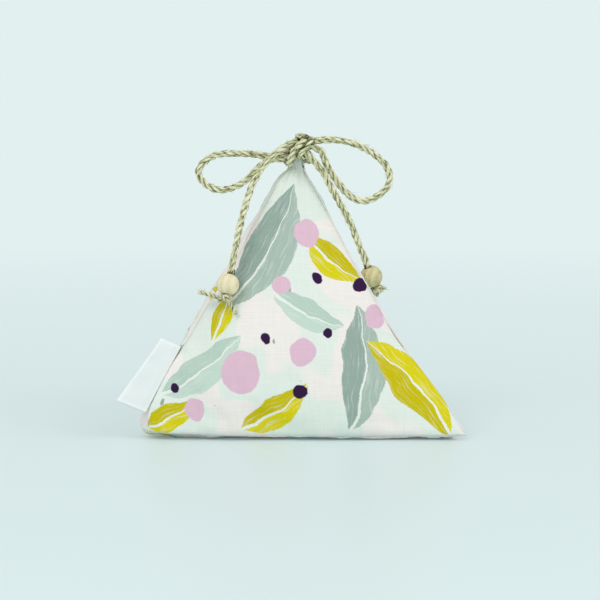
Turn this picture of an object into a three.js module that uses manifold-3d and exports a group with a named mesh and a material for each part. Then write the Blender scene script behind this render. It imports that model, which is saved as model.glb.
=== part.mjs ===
// Pyramid lavender sachet: four crowned cloth panels sewn round a filling of lavender buds, a
// folded tape label in the left front seam, and a cord that is tied in a bow round the tip, with
// a wooden bead on each of its tails.
// Millimetres, +Z up, +X to the right seen from the front, +Y to the back. The origin is the
// middle of the base, on the surface that the sachet stands on.
import * as THREE from 'three';
import { mergeVertices } from 'three/addons/utils/BufferGeometryUtils.js';
import Module from 'manifold-3d';

const wasm = await Module();
wasm.setup();

// Cover: four panels, cut from printed cotton
const BASE_EDGE = 109; // a base seam, corner to corner
const TIP_HEIGHT = 100; // top of the cover above the resting face
const TIP_LEAN = -1.2; // the tip leans to the left
const CORNER_LIFT = 3.2; // the base corners curl up this far from the resting face
const BASE_SEAM_SAG = 2.2; // and the base seams hang this far below the corners
const CLOTH = 0.6;
const SEAM_GAP = 0.3; // between two panels along their seam
const FRONT_CROWN = 9; // how far a stuffed panel stands out in its middle
const LEFT_CROWN = 11.5;
const RIGHT_CROWN = 3.5;
const BASE_CROWN = 6; // before the resting face presses it flat
const CROWN_POWER = 0.75; // under 1 is fuller towards the seams
const LEFT_EDGE_DRAW = 1.4; // how far a seam is drawn in at its middle; below 0 it bows out
const RIGHT_EDGE_DRAW = 6.2;
const BACK_EDGE_DRAW = 2;
const LEFT_EDGE_SWAY = 4.5; // how much more it is drawn in above its middle than below
const RIGHT_EDGE_SWAY = 3.5;

// Neck: the cord squeezes the cover below the tip
const NECK_HEIGHT = TIP_HEIGHT - 9.5; // where the cord lies
const NECK_SQUEEZE = 0.5; // share of the width that the cord takes away
const NECK_REACH = 6; // how far above and below the cord the cover is squeezed

// Sewing thread and filling
const THREAD_DIAMETER = 0.5;
const THREAD_SETBACK = 5; // a seam's thread ends this far from the corners of the base
const THREAD_BELOW_NECK = 12; // and this far below the neck
const FILLING_GAP = 0.9; // from the cloth to the filling
const FILLING_BELOW_NECK = 5;

// Label: cotton tape, folded once and sewn into the seam by its ends
const LABEL_WIDTH = 25; // along the seam
const LABEL_REACH = 10; // from the seam to the fold
const LABEL_TAPE = 0.4;
const LABEL_FOLD_GAP = 0.6; // between its two layers
const LABEL_FROM_CORNER = 19.8; // along the seam from the front left corner to its middle
const LABEL_LEAN = 8; // degrees; its two side edges lean down from square to the seam

// Cord: laid hemp, tied in a bow
const CORD_DIAMETER = 2.4;
const KNOT_RADIUS = 5; // seen from the front
const KNOT_BELOW_TIP = 5.6; // the knot's middle
const LAYER_GAP = 0.8; // between the loops and the tails, which leave the knot in front of them
const BAND_SLANT = 36; // degrees; the two turns over the knot's front rise to the right

// Beads: turned wood on the tails, held by a knot of the cord's plies
const BEAD_DIAMETER = 7.5;
const BEAD_BORE = 3;
const PLY_DIAMETER = 1.5;
const END_KNOT_WIDTH = 4.8;
const END_KNOT_HEIGHT = 2.4;

const CLEARANCE = 0.3; // between pieces that touch on the real sachet

// Triangles: rows of a panel, and sides and steps of the tubes
const PANEL_ROWS = 20;
const FILLING_ROWS = 14;
const CORD_SIDES = 8;
const THREAD_SIDES = 6;
const THREAD_STEPS = 14;
const ROUND_SEGMENTS = 24;

// Routes of the cord from the middle of the knot: a tail's free curve, then its bead on the
// straight end of it, and each loop from the knot round to the knot again.
const LEFT_TAIL_CURVE = [
  [-6.0, -2.0, 0.9], [-7.5, -2.2, -0.2], [-9.5, -2.4, -1.9], [-11.8, -2.7, -4.2], [-14.2, -3.6, -7.4],
  [-16.1, -5.0, -11.1], [-17.9, -7.3, -16.1], [-19.2, -9.5, -20.6],
];
const LEFT_TAIL_STRAIGHT = [-20.4, -11.9, -25.2];
const LEFT_BEAD = [-24.2, -18.5, -43.4];
const RIGHT_TAIL_CURVE = [
  [4.1, -1.6, -3.4], [6.0, -1.7, -5.6], [7.9, -1.8, -8.3], [9.8, -1.8, -12.0], [11.7, -1.7, -15.3],
  [13.9, -1.4, -19.4],
];
const RIGHT_TAIL_STRAIGHT = [17.0, -0.7, -25.4];
const RIGHT_BEAD = [23.8, 2.1, -43.0];
const LEFT_LOOP = [
  [-5.3, 1.7, -0.8], [-8.0, 2.6, -1.7], [-10.9, 3.3, -2.3], [-16.1, 3.6, -1.7], [-23.2, 3.9, -1.5],
  [-28.8, 4.2, -2.0], [-33.0, 4.6, -4.6], [-34.6, 4.8, -7.4], [-33.9, 4.8, -10.2], [-31.2, 4.6, -12.6],
  [-27.5, 4.2, -13.8], [-23.2, 3.6, -13.1], [-18.9, 2.8, -10.7], [-15.7, 2.0, -7.5], [-12.8, 1.3, -4.7],
  [-10.4, 0.8, -3.5], [-7.6, 0.5, -3.2], [-5.1, 0.4, -2.9],
];
const RIGHT_LOOP = [
  [5.0, 1.7, 2.9], [8.0, 1.8, 3.4], [12.3, 2.1, 3.1], [16.0, 2.5, 2.5], [19.4, 2.9, 1.3],
  [24.0, 3.4, -1.2], [28.1, 4.0, -5.0], [30.0, 4.2, -8.7], [29.6, 4.2, -12.0], [27.0, 4.0, -15.1],
  [22.9, 3.6, -17.3], [19.0, 3.1, -17.2], [15.3, 2.6, -14.6], [11.6, 2.0, -10.0], [8.9, 1.4, -5.6],
  [7.7, 1.0, -2.9], [7.1, 0.7, -1.0], [6.0, 0.6, 0.0],
];

// Materials, in the photograph's colours
const matte = (color, roughness) => new THREE.MeshStandardMaterial({ color, roughness, metalness: 0 });
const PRINT_MINT = matte(0xdcece2, 0.9);
const PRINT_SAGE = matte(0xa3b5aa, 0.9);
const PRINT_YELLOW = matte(0xd8d20c, 0.9);
const PRINT_PINK = matte(0xdcb6ca, 0.9);
const THREAD_WHITE = matte(0xeeeae2, 0.8);
const LAVENDER = matte(0x6f6390, 1);
const TAPE_WHITE = matte(0xf4f4ee, 0.85);
const HEMP = matte(0xc6bb8c, 0.95);
const BARE_WOOD = matte(0xe0cfa4, 0.7);

// Solids
function solidOf(geometry) {
  const bare = geometry.clone();
  bare.deleteAttribute('normal');
  bare.deleteAttribute('uv');
  const welded = mergeVertices(bare, 1e-4);
  const mesh = { numProp: 3, vertProperties: welded.attributes.position.array, triVerts: welded.index.array };
  return new wasm.Manifold(new wasm.Mesh(mesh));
}

function geometryOf(solid) {
  const mesh = solid.getMesh();
  return new THREE.BufferGeometry()
    .setAttribute('position', new THREE.BufferAttribute(mesh.vertProperties, 3))
    .setIndex(new THREE.BufferAttribute(mesh.triVerts, 1));
}

function joined(geometries) {
  const solids = geometries.map(solidOf);
  return geometryOf(solids.reduce((whole, solid) => whole.add(solid)));
}

function named(name, geometry, material) {
  const mesh = new THREE.Mesh(geometry, material);
  mesh.name = name;
  return mesh;
}

const vector = (numbers) => new THREE.Vector3(...numbers);

// A closed tube with flat ends along a smooth curve through points.
function tube(points, diameter, sides, steps) {
  const section = new THREE.Shape();
  for (let i = 0; i < sides; i++) {
    const angle = (2 * Math.PI * i) / sides;
    const [x, y] = [Math.cos(angle), Math.sin(angle)].map((part) => (part * diameter) / 2);
    if (i === 0) section.moveTo(x, y);
    else section.lineTo(x, y);
  }
  section.closePath();
  const extrudePath = new THREE.CatmullRomCurve3(points, false, 'centripetal');
  return new THREE.ExtrudeGeometry(section, { steps, bevelEnabled: false, extrudePath });
}

// Cover surface: each panel is a triangle of corners, bowed at its seams and crowned
const MIDDLE_TO_SIDE = BASE_EDGE / (2 * Math.sqrt(3));
const CORNERS = {
  frontLeft: new THREE.Vector3(-BASE_EDGE / 2, -MIDDLE_TO_SIDE, CORNER_LIFT),
  frontRight: new THREE.Vector3(BASE_EDGE / 2, -MIDDLE_TO_SIDE, CORNER_LIFT),
  back: new THREE.Vector3(0, 2 * MIDDLE_TO_SIDE, CORNER_LIFT),
  tip: new THREE.Vector3(TIP_LEAN, 0, TIP_HEIGHT),
};
const PANELS = {
  front: { corners: ['frontLeft', 'frontRight', 'tip'], crown: FRONT_CROWN },
  right: { corners: ['frontRight', 'back', 'tip'], crown: RIGHT_CROWN },
  left: { corners: ['back', 'frontLeft', 'tip'], crown: LEFT_CROWN },
  base: { corners: ['frontLeft', 'back', 'frontRight'], crown: BASE_CROWN },
};
const SEAM_DRAW = { frontLeft: LEFT_EDGE_DRAW, frontRight: RIGHT_EDGE_DRAW, back: BACK_EDGE_DRAW };
const SEAM_SWAY = { frontLeft: LEFT_EDGE_SWAY, frontRight: RIGHT_EDGE_SWAY, back: 0 };

for (const panel of Object.values(PANELS)) {
  const [a, b, c] = panel.corners.map((corner) => CORNERS[corner]);
  const across = b.clone().sub(a).cross(c.clone().sub(a));
  panel.area = across.length() / 2;
  panel.normal = across.normalize();
}

// The inscribed sphere of the flat pyramid: moving every side in by the same amount scales the
// pyramid about its middle.
const AREA = Object.values(PANELS).reduce((sum, panel) => sum + panel.area, 0);
const OPPOSITE = { frontLeft: 'right', frontRight: 'left', back: 'front', tip: 'base' };
const INNER_MIDDLE = new THREE.Vector3();
for (const [corner, panel] of Object.entries(OPPOSITE)) {
  INNER_MIDDLE.addScaledVector(CORNERS[corner], PANELS[panel].area / AREA);
}
const INNER_RADIUS = INNER_MIDDLE.z - CORNER_LIFT;

function cornerAt(corner, inset) {
  return CORNERS[corner].clone().lerp(INNER_MIDDLE, inset / INNER_RADIUS);
}

// How far the seam between two corners moves, by the shares of both: in towards the upright axis,
// or down along the base.
function seamMove(one, other, shareOfOne, shareOfOther) {
  const bow = 4 * shareOfOne * shareOfOther;
  if (one !== 'tip' && other !== 'tip') return new THREE.Vector3(0, 0, -BASE_SEAM_SAG * bow);
  const [foot, above] = one === 'tip' ? [other, shareOfOne - shareOfOther] : [one, shareOfOther - shareOfOne];
  const inward = new THREE.Vector3(-CORNERS[foot].x, -CORNERS[foot].y, 0).normalize();
  return inward.multiplyScalar(bow * (SEAM_DRAW[foot] + SEAM_SWAY[foot] * above));
}

function squeezed(point) {
  const distance = (point.z - NECK_HEIGHT) / NECK_REACH;
  const share = 1 - NECK_SQUEEZE * Math.exp(-distance * distance);
  const axis = (TIP_LEAN * point.z) / TIP_HEIGHT;
  return new THREE.Vector3(axis + (point.x - axis) * share, point.y * share, point.z);
}

// A point of a panel, or of the same panel moved into the sachet by inset. The shares of its three
// corners sum to 1.
function panelPoint(panel, shares, inset = 0) {
  const point = new THREE.Vector3();
  panel.corners.forEach((corner, i) => {
    const next = (i + 1) % 3;
    point.addScaledVector(cornerAt(corner, inset), shares[i]);
    point.add(seamMove(corner, panel.corners[next], shares[i], shares[next]));
  });
  const fullness = Math.max(0, 27 * shares[0] * shares[1] * shares[2]);
  point.addScaledVector(panel.normal, panel.crown * fullness ** CROWN_POWER);
  point.z = Math.max(point.z, inset);
  return squeezed(point);
}

// A point of the seam between two corners, by its share of the way from one to the other.
function seamPoint(one, other, share, inset = 0) {
  const point = cornerAt(one, inset).lerp(cornerAt(other, inset), share);
  point.add(seamMove(one, other, 1 - share, share));
  return squeezed(point);
}

// The corner shares of a triangular grid, row by row, kept off the seams by margin.
function gridShares(rows, margin) {
  const shares = [];
  for (let row = 0; row <= rows; row++) {
    for (let column = 0; column <= rows - row; column++) {
      const raw = [column / rows, row / rows];
      const kept = raw.map((share) => margin + (1 - 3 * margin) * share);
      shares.push([1 - kept[0] - kept[1], kept[0], kept[1]]);
    }
  }
  return shares;
}

// Triangles of such a grid, wound the way that its corners go round.
function gridTriangles(rows) {
  const at = (row, column) => row * (rows + 1) - (row * (row - 1)) / 2 + column;
  const triangles = [];
  for (let row = 0; row < rows; row++) {
    for (let column = 0; column < rows - row; column++) {
      triangles.push([at(row, column), at(row, column + 1), at(row + 1, column)]);
      if (column < rows - row - 1) {
        triangles.push([at(row, column + 1), at(row + 1, column + 1), at(row + 1, column)]);
      }
    }
  }
  return triangles;
}

// The grid's rim in order round the triangle.
function gridRim(rows) {
  const at = (row, column) => row * (rows + 1) - (row * (row - 1)) / 2 + column;
  const rim = [];
  for (let i = 0; i < rows; i++) rim.push(at(0, i));
  for (let i = 0; i < rows; i++) rim.push(at(i, rows - i));
  for (let i = rows; i > 0; i--) rim.push(at(i, 0));
  return rim;
}

function meshOf(points, triangles) {
  return new THREE.BufferGeometry().setFromPoints(points).setIndex(triangles.flat());
}

// One cloth panel: its outer face, the same face a cloth's thickness further in, and the cut edge.
function clothPanel(panel) {
  const shares = gridShares(PANEL_ROWS, SEAM_GAP / 2 / (Math.sqrt(3 * panel.area)));
  const outer = shares.map((share) => panelPoint(panel, share));
  const inner = shares.map((share) => panelPoint(panel, share, CLOTH));
  const count = outer.length;
  const faces = gridTriangles(PANEL_ROWS);
  const triangles = faces.map((face) => [...face]);
  faces.forEach(([a, b, c]) => triangles.push([a + count, c + count, b + count]));
  const rim = gridRim(PANEL_ROWS);
  rim.forEach((a, i) => {
    const b = rim[(i + 1) % rim.length];
    triangles.push([a, a + count, b], [b, a + count, b + count]);
  });
  return meshOf([...outer, ...inner], triangles);
}

// The filling: the inside of the cover, level below the neck.
function filling() {
  const inset = CLOTH + FILLING_GAP;
  const top = NECK_HEIGHT - FILLING_BELOW_NECK;
  const points = [];
  const triangles = [];
  for (const panel of Object.values(PANELS)) {
    const start = points.length;
    for (const share of gridShares(FILLING_ROWS, 0)) {
      const point = panelPoint(panel, share, inset);
      point.z = Math.min(point.z, top);
      points.push(point);
    }
    gridTriangles(FILLING_ROWS).forEach((face) => triangles.push(face.map((i) => i + start)));
  }
  return geometryOf(solidOf(meshOf(points, triangles)));
}

// The thread of one seam, inside the fold of the two panels.
function seamThread(one, other) {
  const inset = CLOTH + CLEARANCE + THREAD_DIAMETER / 2;
  const start = THREAD_SETBACK / cornerAt(one, inset).distanceTo(cornerAt(other, inset));
  const end = other === 'tip' ? (NECK_HEIGHT - THREAD_BELOW_NECK) / TIP_HEIGHT : 1 - start;
  const points = [];
  for (let i = 0; i <= THREAD_STEPS; i++) {
    const share = start + ((end - start) * i) / THREAD_STEPS;
    points.push(seamPoint(one, other, share, inset));
  }
  return tube(points, THREAD_DIAMETER, THREAD_SIDES, THREAD_STEPS);
}

// Label: a hairpin of tape, drawn outwards from the seam, as long as the tape is wide
function labelTape() {
  const inner = LABEL_FOLD_GAP / 2;
  const outer = inner + LABEL_TAPE;
  const bend = LABEL_REACH - outer;
  const hairpin = new THREE.Shape();
  hairpin.moveTo(0, -outer);
  hairpin.lineTo(bend, -outer);
  hairpin.absarc(bend, 0, outer, -Math.PI / 2, Math.PI / 2, false);
  hairpin.lineTo(0, outer);
  hairpin.lineTo(0, inner);
  hairpin.lineTo(bend, inner);
  hairpin.absarc(bend, 0, inner, Math.PI / 2, -Math.PI / 2, true);
  hairpin.lineTo(0, -inner);
  hairpin.closePath();
  const tape = new THREE.ExtrudeGeometry(hairpin, { depth: LABEL_WIDTH, bevelEnabled: false, curveSegments: 6 });
  const lean = Math.tan((LABEL_LEAN * Math.PI) / 180);
  return tape.applyMatrix4(new THREE.Matrix4().makeShear(0, -lean, 0, 0, 0, 0));
}

// The label's place: out of the left front seam, midway between the two panels.
function labelGroup() {
  const seam = CORNERS.tip.clone().sub(CORNERS.frontLeft);
  const share = LABEL_FROM_CORNER / seam.length();
  const along = seam.normalize();
  const outward = PANELS.front.normal.clone().add(PANELS.left.normal).normalize();
  const side = along.clone().cross(outward);
  const group = new THREE.Group();
  group.position.copy(seamPoint('frontLeft', 'tip', share));
  group.quaternion.setFromRotationMatrix(new THREE.Matrix4().makeBasis(outward, side, along));
  const tape = named('label', labelTape(), TAPE_WHITE);
  tape.position.set(CLEARANCE + SEAM_GAP, 0, -LABEL_WIDTH / 2);
  group.add(tape);
  return group;
}

// Bow: the knot lies on the front of the neck, and everything on it is placed from its middle
const ROUND_THE_TIP = gridShares(4 * PANEL_ROWS, 0);
const TIP_PANELS = [PANELS.front, PANELS.left, PANELS.right];

// The outermost distance of the cover between two heights, measured by a rule for a point.
function coverReach(low, high, rule) {
  let reach = 0;
  for (const panel of TIP_PANELS) {
    for (const share of ROUND_THE_TIP) {
      const point = panelPoint(panel, share);
      if (point.z > low && point.z < high) reach = Math.max(reach, rule(point));
    }
  }
  return reach;
}

const KNOT_HEIGHT = TIP_HEIGHT - KNOT_BELOW_TIP;
const KNOT_DEPTH = 2 * CORD_DIAMETER + LAYER_GAP + CLEARANCE;
const KNOT_BACK = CLEARANCE + coverReach(KNOT_HEIGHT - KNOT_RADIUS, TIP_HEIGHT, (point) => -point.y);
const KNOT_MIDDLE = new THREE.Vector3(0, -KNOT_BACK - KNOT_DEPTH / 2, KNOT_HEIGHT);

// A ring of cord round the knot's core, slantwise over its front.
function knotRing(place) {
  const slant = (BAND_SLANT * Math.PI) / 180;
  const along = new THREE.Vector3(Math.cos(slant), 0, Math.sin(slant));
  const across = new THREE.Vector3(-Math.sin(slant), 0, Math.cos(slant));
  const points = [];
  for (let i = 0; i < 12; i++) {
    const angle = (Math.PI * i) / 6;
    const point = new THREE.Vector3(0, ((KNOT_DEPTH - CORD_DIAMETER) / 2) * Math.sin(angle), 0);
    point.addScaledVector(along, (KNOT_RADIUS - CORD_DIAMETER) * Math.cos(angle));
    points.push(point.addScaledVector(across, (place * CORD_DIAMETER) / 2));
  }
  const ring = new THREE.CatmullRomCurve3(points, true, 'centripetal');
  return new THREE.TubeGeometry(ring, ROUND_SEGMENTS, CORD_DIAMETER / 2, CORD_SIDES, true);
}

// A strand's way out of the knot, towards the start of its route.
function knotStub([x, y, z]) {
  const share = KNOT_RADIUS / Math.hypot(x, z);
  const points = [0.2, 0.6, 1].map((part) => vector([x * share * part, y, z * share * part]));
  return tube(points, CORD_DIAMETER, CORD_SIDES, 2);
}

// The knot: a core of crossing turns, two turns round it, and the six strands that leave it.
function bowKnot() {
  const core = new THREE.SphereGeometry(KNOT_RADIUS - CORD_DIAMETER / 2, ROUND_SEGMENTS, 12);
  core.scale(1, (KNOT_DEPTH - CORD_DIAMETER / 2) / (2 * KNOT_RADIUS - CORD_DIAMETER), 1);
  const starts = [LEFT_TAIL_CURVE[0], RIGHT_TAIL_CURVE[0]];
  for (const route of [LEFT_LOOP, RIGHT_LOOP]) starts.push(route[0], route[route.length - 1]);
  return joined([core, knotRing(-1), knotRing(1), ...starts.map(knotStub)]);
}

// The turn of cord round the neck, from behind the knot round the back of the tip.
function neckTurn() {
  const low = NECK_HEIGHT - CORD_DIAMETER / 2;
  const high = NECK_HEIGHT + CORD_DIAMETER / 2;
  const axis = (TIP_LEAN * NECK_HEIGHT) / TIP_HEIGHT;
  const reach = coverReach(low, high, (point) => Math.hypot(point.x - axis, point.y));
  const radius = reach + CLEARANCE + CORD_DIAMETER / 2;
  const front = -KNOT_BACK + 2 * CLEARANCE;
  const points = [];
  for (const share of [0, 0.5]) points.push(new THREE.Vector3(axis - radius, front * (1 - share), NECK_HEIGHT));
  for (let i = 0; i <= 8; i++) {
    const angle = Math.PI - (Math.PI * i) / 8;
    points.push(new THREE.Vector3(axis + radius * Math.cos(angle), radius * Math.sin(angle), NECK_HEIGHT));
  }
  for (const share of [0.5, 0]) points.push(new THREE.Vector3(axis + radius, front * (1 - share), NECK_HEIGHT));
  return tube(points, CORD_DIAMETER, CORD_SIDES, 14);
}

function loop(route) {
  return tube(route.map(vector), CORD_DIAMETER, CORD_SIDES, 26);
}

// A tail's direction where it is straight, from its curve down to the bead.
function tailDirection(straight, bead) {
  return vector(bead).sub(vector(straight)).normalize();
}

// Distance from a bead's middle along its bore to the bore's mouth.
const BORE_HALF = Math.sqrt((BEAD_DIAMETER / 2) ** 2 - (BEAD_BORE / 2) ** 2);

function tail(curve, straight, bead) {
  const down = tailDirection(straight, bead);
  const end = vector(bead).addScaledVector(down, BORE_HALF);
  const points = curve.map(vector);
  for (const share of [0, 0.25, 0.5, 0.75, 1]) points.push(vector(straight).lerp(end, share));
  return tube(points, CORD_DIAMETER, CORD_SIDES, 20);
}

// A bead turned about its bore, which lies along the geometry's Y axis.
function bead() {
  const outline = new THREE.Path();
  const mouth = Math.acos(BEAD_BORE / BEAD_DIAMETER);
  outline.moveTo(BEAD_BORE / 2, BORE_HALF);
  outline.lineTo(BEAD_BORE / 2, -BORE_HALF);
  outline.absarc(0, 0, BEAD_DIAMETER / 2, -mouth, mouth, false);
  return new THREE.LatheGeometry(outline.getPoints(6), ROUND_SEGMENTS);
}

// The knot under a bead: two plies tied together, with their ends sticking out to both sides. It
// hangs down the geometry's Y axis from the bead's middle.
function endKnot(ends) {
  const drop = BORE_HALF + CLEARANCE + END_KNOT_HEIGHT / 2;
  const lump = new THREE.SphereGeometry(END_KNOT_WIDTH / 2, 14, 10);
  lump.scale(1, END_KNOT_HEIGHT / END_KNOT_WIDTH, 1);
  lump.translate(0, -drop, 0);
  const plies = ends.map((route) => {
    const points = route.map((step) => vector(step).add(new THREE.Vector3(0, -drop, 0)));
    return tube(points, PLY_DIAMETER, CORD_SIDES, 6);
  });
  return joined([lump, ...plies]);
}

const LEFT_PLY_ENDS = [
  [[-0.6, 0.1, 0], [-2.8, 0.4, -0.3], [-5.2, 0.7, -0.5], [-7.8, 1.0, -0.6]],
  [[0.6, 0, -0.4], [1.9, -1.2, -0.8], [3.2, -2.7, -1.0], [4.4, -4.2, -1.0]],
];
const RIGHT_PLY_ENDS = [
  [[0.5, 0.1, 0], [1.4, -0.1, 0.2], [2.4, -0.5, 0.3], [3.2, -0.9, 0.3]],
  [[0.1, 0, -0.3], [0.1, -0.9, -0.5], [-0.2, -1.7, -0.5], [-0.5, -2.4, -0.5]],
];

function tailGroup(side, curve, straight, beadAt, plyEnds) {
  const group = new THREE.Group();
  group.add(named(`${side}_tail`, tail(curve, straight, beadAt), HEMP));
  const threaded = new THREE.Group();
  threaded.position.copy(vector(beadAt));
  const up = tailDirection(straight, beadAt).negate();
  threaded.quaternion.setFromUnitVectors(new THREE.Vector3(0, 1, 0), up);
  threaded.add(named(`${side}_bead`, bead(), BARE_WOOD));
  threaded.add(named(`${side}_end_knot`, endKnot(plyEnds), HEMP));
  group.add(threaded);
  return group;
}

// Assembly
const sachet = new THREE.Group();
sachet.add(named('front_panel', clothPanel(PANELS.front), PRINT_MINT));
sachet.add(named('left_panel', clothPanel(PANELS.left), PRINT_SAGE));
sachet.add(named('right_panel', clothPanel(PANELS.right), PRINT_YELLOW));
sachet.add(named('base_panel', clothPanel(PANELS.base), PRINT_PINK));
sachet.add(named('lavender_filling', filling(), LAVENDER));

const SEAMS = {
  front_left: ['frontLeft', 'tip'],
  front_right: ['frontRight', 'tip'],
  back: ['back', 'tip'],
  base_front: ['frontLeft', 'frontRight'],
  base_right: ['frontRight', 'back'],
  base_left: ['back', 'frontLeft'],
};
for (const [name, [one, other]] of Object.entries(SEAMS)) {
  sachet.add(named(`${name}_seam_thread`, seamThread(one, other), THREAD_WHITE));
}
sachet.add(labelGroup());
sachet.add(named('neck_turn', neckTurn(), HEMP));

const bow = new THREE.Group();
bow.position.copy(KNOT_MIDDLE);
bow.add(named('bow_knot', bowKnot(), HEMP));
bow.add(named('left_loop', loop(LEFT_LOOP), HEMP));
bow.add(named('right_loop', loop(RIGHT_LOOP), HEMP));
bow.add(tailGroup('left', LEFT_TAIL_CURVE, LEFT_TAIL_STRAIGHT, LEFT_BEAD, LEFT_PLY_ENDS));
bow.add(tailGroup('right', RIGHT_TAIL_CURVE, RIGHT_TAIL_STRAIGHT, RIGHT_BEAD, RIGHT_PLY_ENDS));
sachet.add(bow);

export default sachet;
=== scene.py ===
import math

import bpy
import numpy as np
from mathutils import Matrix, Vector, noise


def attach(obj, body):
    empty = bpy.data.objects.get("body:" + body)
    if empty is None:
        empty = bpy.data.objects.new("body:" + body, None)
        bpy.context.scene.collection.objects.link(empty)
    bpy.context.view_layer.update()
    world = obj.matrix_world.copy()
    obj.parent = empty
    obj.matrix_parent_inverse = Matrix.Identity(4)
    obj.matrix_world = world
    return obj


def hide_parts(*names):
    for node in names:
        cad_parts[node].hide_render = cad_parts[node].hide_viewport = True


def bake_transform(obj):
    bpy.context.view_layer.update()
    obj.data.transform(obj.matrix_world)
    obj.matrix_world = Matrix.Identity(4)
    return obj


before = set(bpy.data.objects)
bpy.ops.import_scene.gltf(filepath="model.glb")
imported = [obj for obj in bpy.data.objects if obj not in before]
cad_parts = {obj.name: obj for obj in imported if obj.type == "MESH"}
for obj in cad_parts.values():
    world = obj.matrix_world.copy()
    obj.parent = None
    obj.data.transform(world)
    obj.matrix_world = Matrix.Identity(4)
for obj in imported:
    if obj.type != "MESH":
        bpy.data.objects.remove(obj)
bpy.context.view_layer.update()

scene = bpy.context.scene
scene.view_settings.view_transform = "Standard"
bpy.ops.object.select_all(action="DESELECT")


# Camera: a long lens from the front, a little above the sachet, so that the base seam looks
# almost straight and the left and right faces are hidden behind the front one.
MM = 0.001
CAMERA_DISTANCE = 900 * MM
CAMERA_PITCH = math.radians(7)
SCALE_AT_SACHET = 0.34 * MM  # metres to a pixel of the 600 wide picture
CAMERA_TARGET = Vector((-0.00034, 0, 0.043))
SENSOR_WIDTH, PICTURE_WIDTH = 36, 600


def linked(name, data):
    obj = bpy.data.objects.new(name, data)
    scene.collection.objects.link(obj)
    return obj


camera_data = bpy.data.cameras.new("camera")
camera_data.sensor_width = SENSOR_WIDTH
camera_data.lens = SENSOR_WIDTH * CAMERA_DISTANCE / (PICTURE_WIDTH * SCALE_AT_SACHET)
camera = linked("camera", camera_data)
backwards = Vector((0, -math.cos(CAMERA_PITCH), math.sin(CAMERA_PITCH)))
camera.location = CAMERA_TARGET + CAMERA_DISTANCE * backwards
camera.rotation_euler = (math.pi / 2 - CAMERA_PITCH, 0, 0)
scene.camera = camera


# Cord of the bow: one length of hemp, three strands laid together, tied in a bow round the tip.
# Its loops and tails leave the knot and bend there. The dry fibres are straw coloured, with
# painted shade darker down in the lay, and short ends of them stand off all along.
CORD = 2.4  # diameter, mm
LAY = 8.6  # one whole turn of a strand
STRAND_RADIUS = 0.6
STRAND_OFFSET = 0.62  # from the cord's middle to a strand's
TURN_DRIFT, OFFSET_DRIFT, GIRTH_DRIFT = (3, 0.05), (2.2, 0.08), (1.4, 0.08)  # mm apart, and size
STRAND_SHIFT = 13.7  # of the fibre pattern from one strand to the next
FUZZ = 1.6  # fibre ends to a mm of cord
HAIR_LENGTH, HAIR_LEAN, HAIR_RISE, HAIR_CURL = (0.5, 1.5), (0.5, 1.4), (0.25, 1.0), 0.35
HAIR_RADII = np.array([0.045, 0.04, 0.032, 0.024, 0.012])
KNOT = np.array([0, -4.995, 94.4])

LEFT_TAIL_CURVE = [
    [-6.0, -2.0, 0.9], [-7.5, -2.2, -0.2], [-9.5, -2.4, -1.9], [-11.8, -2.7, -4.2], [-14.2, -3.6, -7.4],
    [-16.1, -5.0, -11.1], [-17.9, -7.3, -16.1], [-19.2, -9.5, -20.6],
]
LEFT_TAIL_STRAIGHT = [-20.4, -11.9, -25.2]
LEFT_BEAD = [-24.2, -18.5, -43.4]
RIGHT_TAIL_CURVE = [
    [4.1, -1.6, -3.4], [6.0, -1.7, -5.6], [7.9, -1.8, -8.3], [9.8, -1.8, -12.0], [11.7, -1.7, -15.3],
    [13.9, -1.4, -19.4],
]
RIGHT_TAIL_STRAIGHT = [17.0, -0.7, -25.4]
RIGHT_BEAD = [23.8, 2.1, -43.0]
BEAD_RADIUS, BORE_RADIUS = 3.75, 1.5
BORE_HALF = math.sqrt(BEAD_RADIUS**2 - BORE_RADIUS**2)
LEFT_LOOP = [
    [-5.3, 1.7, -0.8], [-8.0, 2.6, -1.7], [-10.9, 3.3, -2.3], [-16.1, 3.6, -1.7], [-23.2, 3.9, -1.5],
    [-28.8, 4.2, -2.0], [-33.0, 4.6, -4.6], [-34.6, 4.8, -7.4], [-33.9, 4.8, -10.2], [-31.2, 4.6, -12.6],
    [-27.5, 4.2, -13.8], [-23.2, 3.6, -13.1], [-18.9, 2.8, -10.7], [-15.7, 2.0, -7.5], [-12.8, 1.3, -4.7],
    [-10.4, 0.8, -3.5], [-7.6, 0.5, -3.2], [-5.1, 0.4, -2.9],
]
RIGHT_LOOP = [
    [5.0, 1.7, 2.9], [8.0, 1.8, 3.4], [12.3, 2.1, 3.1], [16.0, 2.5, 2.5], [19.4, 2.9, 1.3],
    [24.0, 3.4, -1.2], [28.1, 4.0, -5.0], [30.0, 4.2, -8.7], [29.6, 4.2, -12.0], [27.0, 4.0, -15.1],
    [22.9, 3.6, -17.3], [19.0, 3.1, -17.2], [15.3, 2.6, -14.6], [11.6, 2.0, -10.0], [8.9, 1.4, -5.6],
    [7.7, 1.0, -2.9], [7.1, 0.7, -1.0], [6.0, 0.6, 0.0],
]


def unit(vectors):
    """Vectors, one to a row, at a length of 1."""
    return vectors / np.linalg.norm(vectors, axis=1)[:, None]


def distances(line):
    """How far each point of a line is along it."""
    return np.concatenate([[0], np.cumsum(np.linalg.norm(np.diff(line, axis=0), axis=1))])


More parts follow.
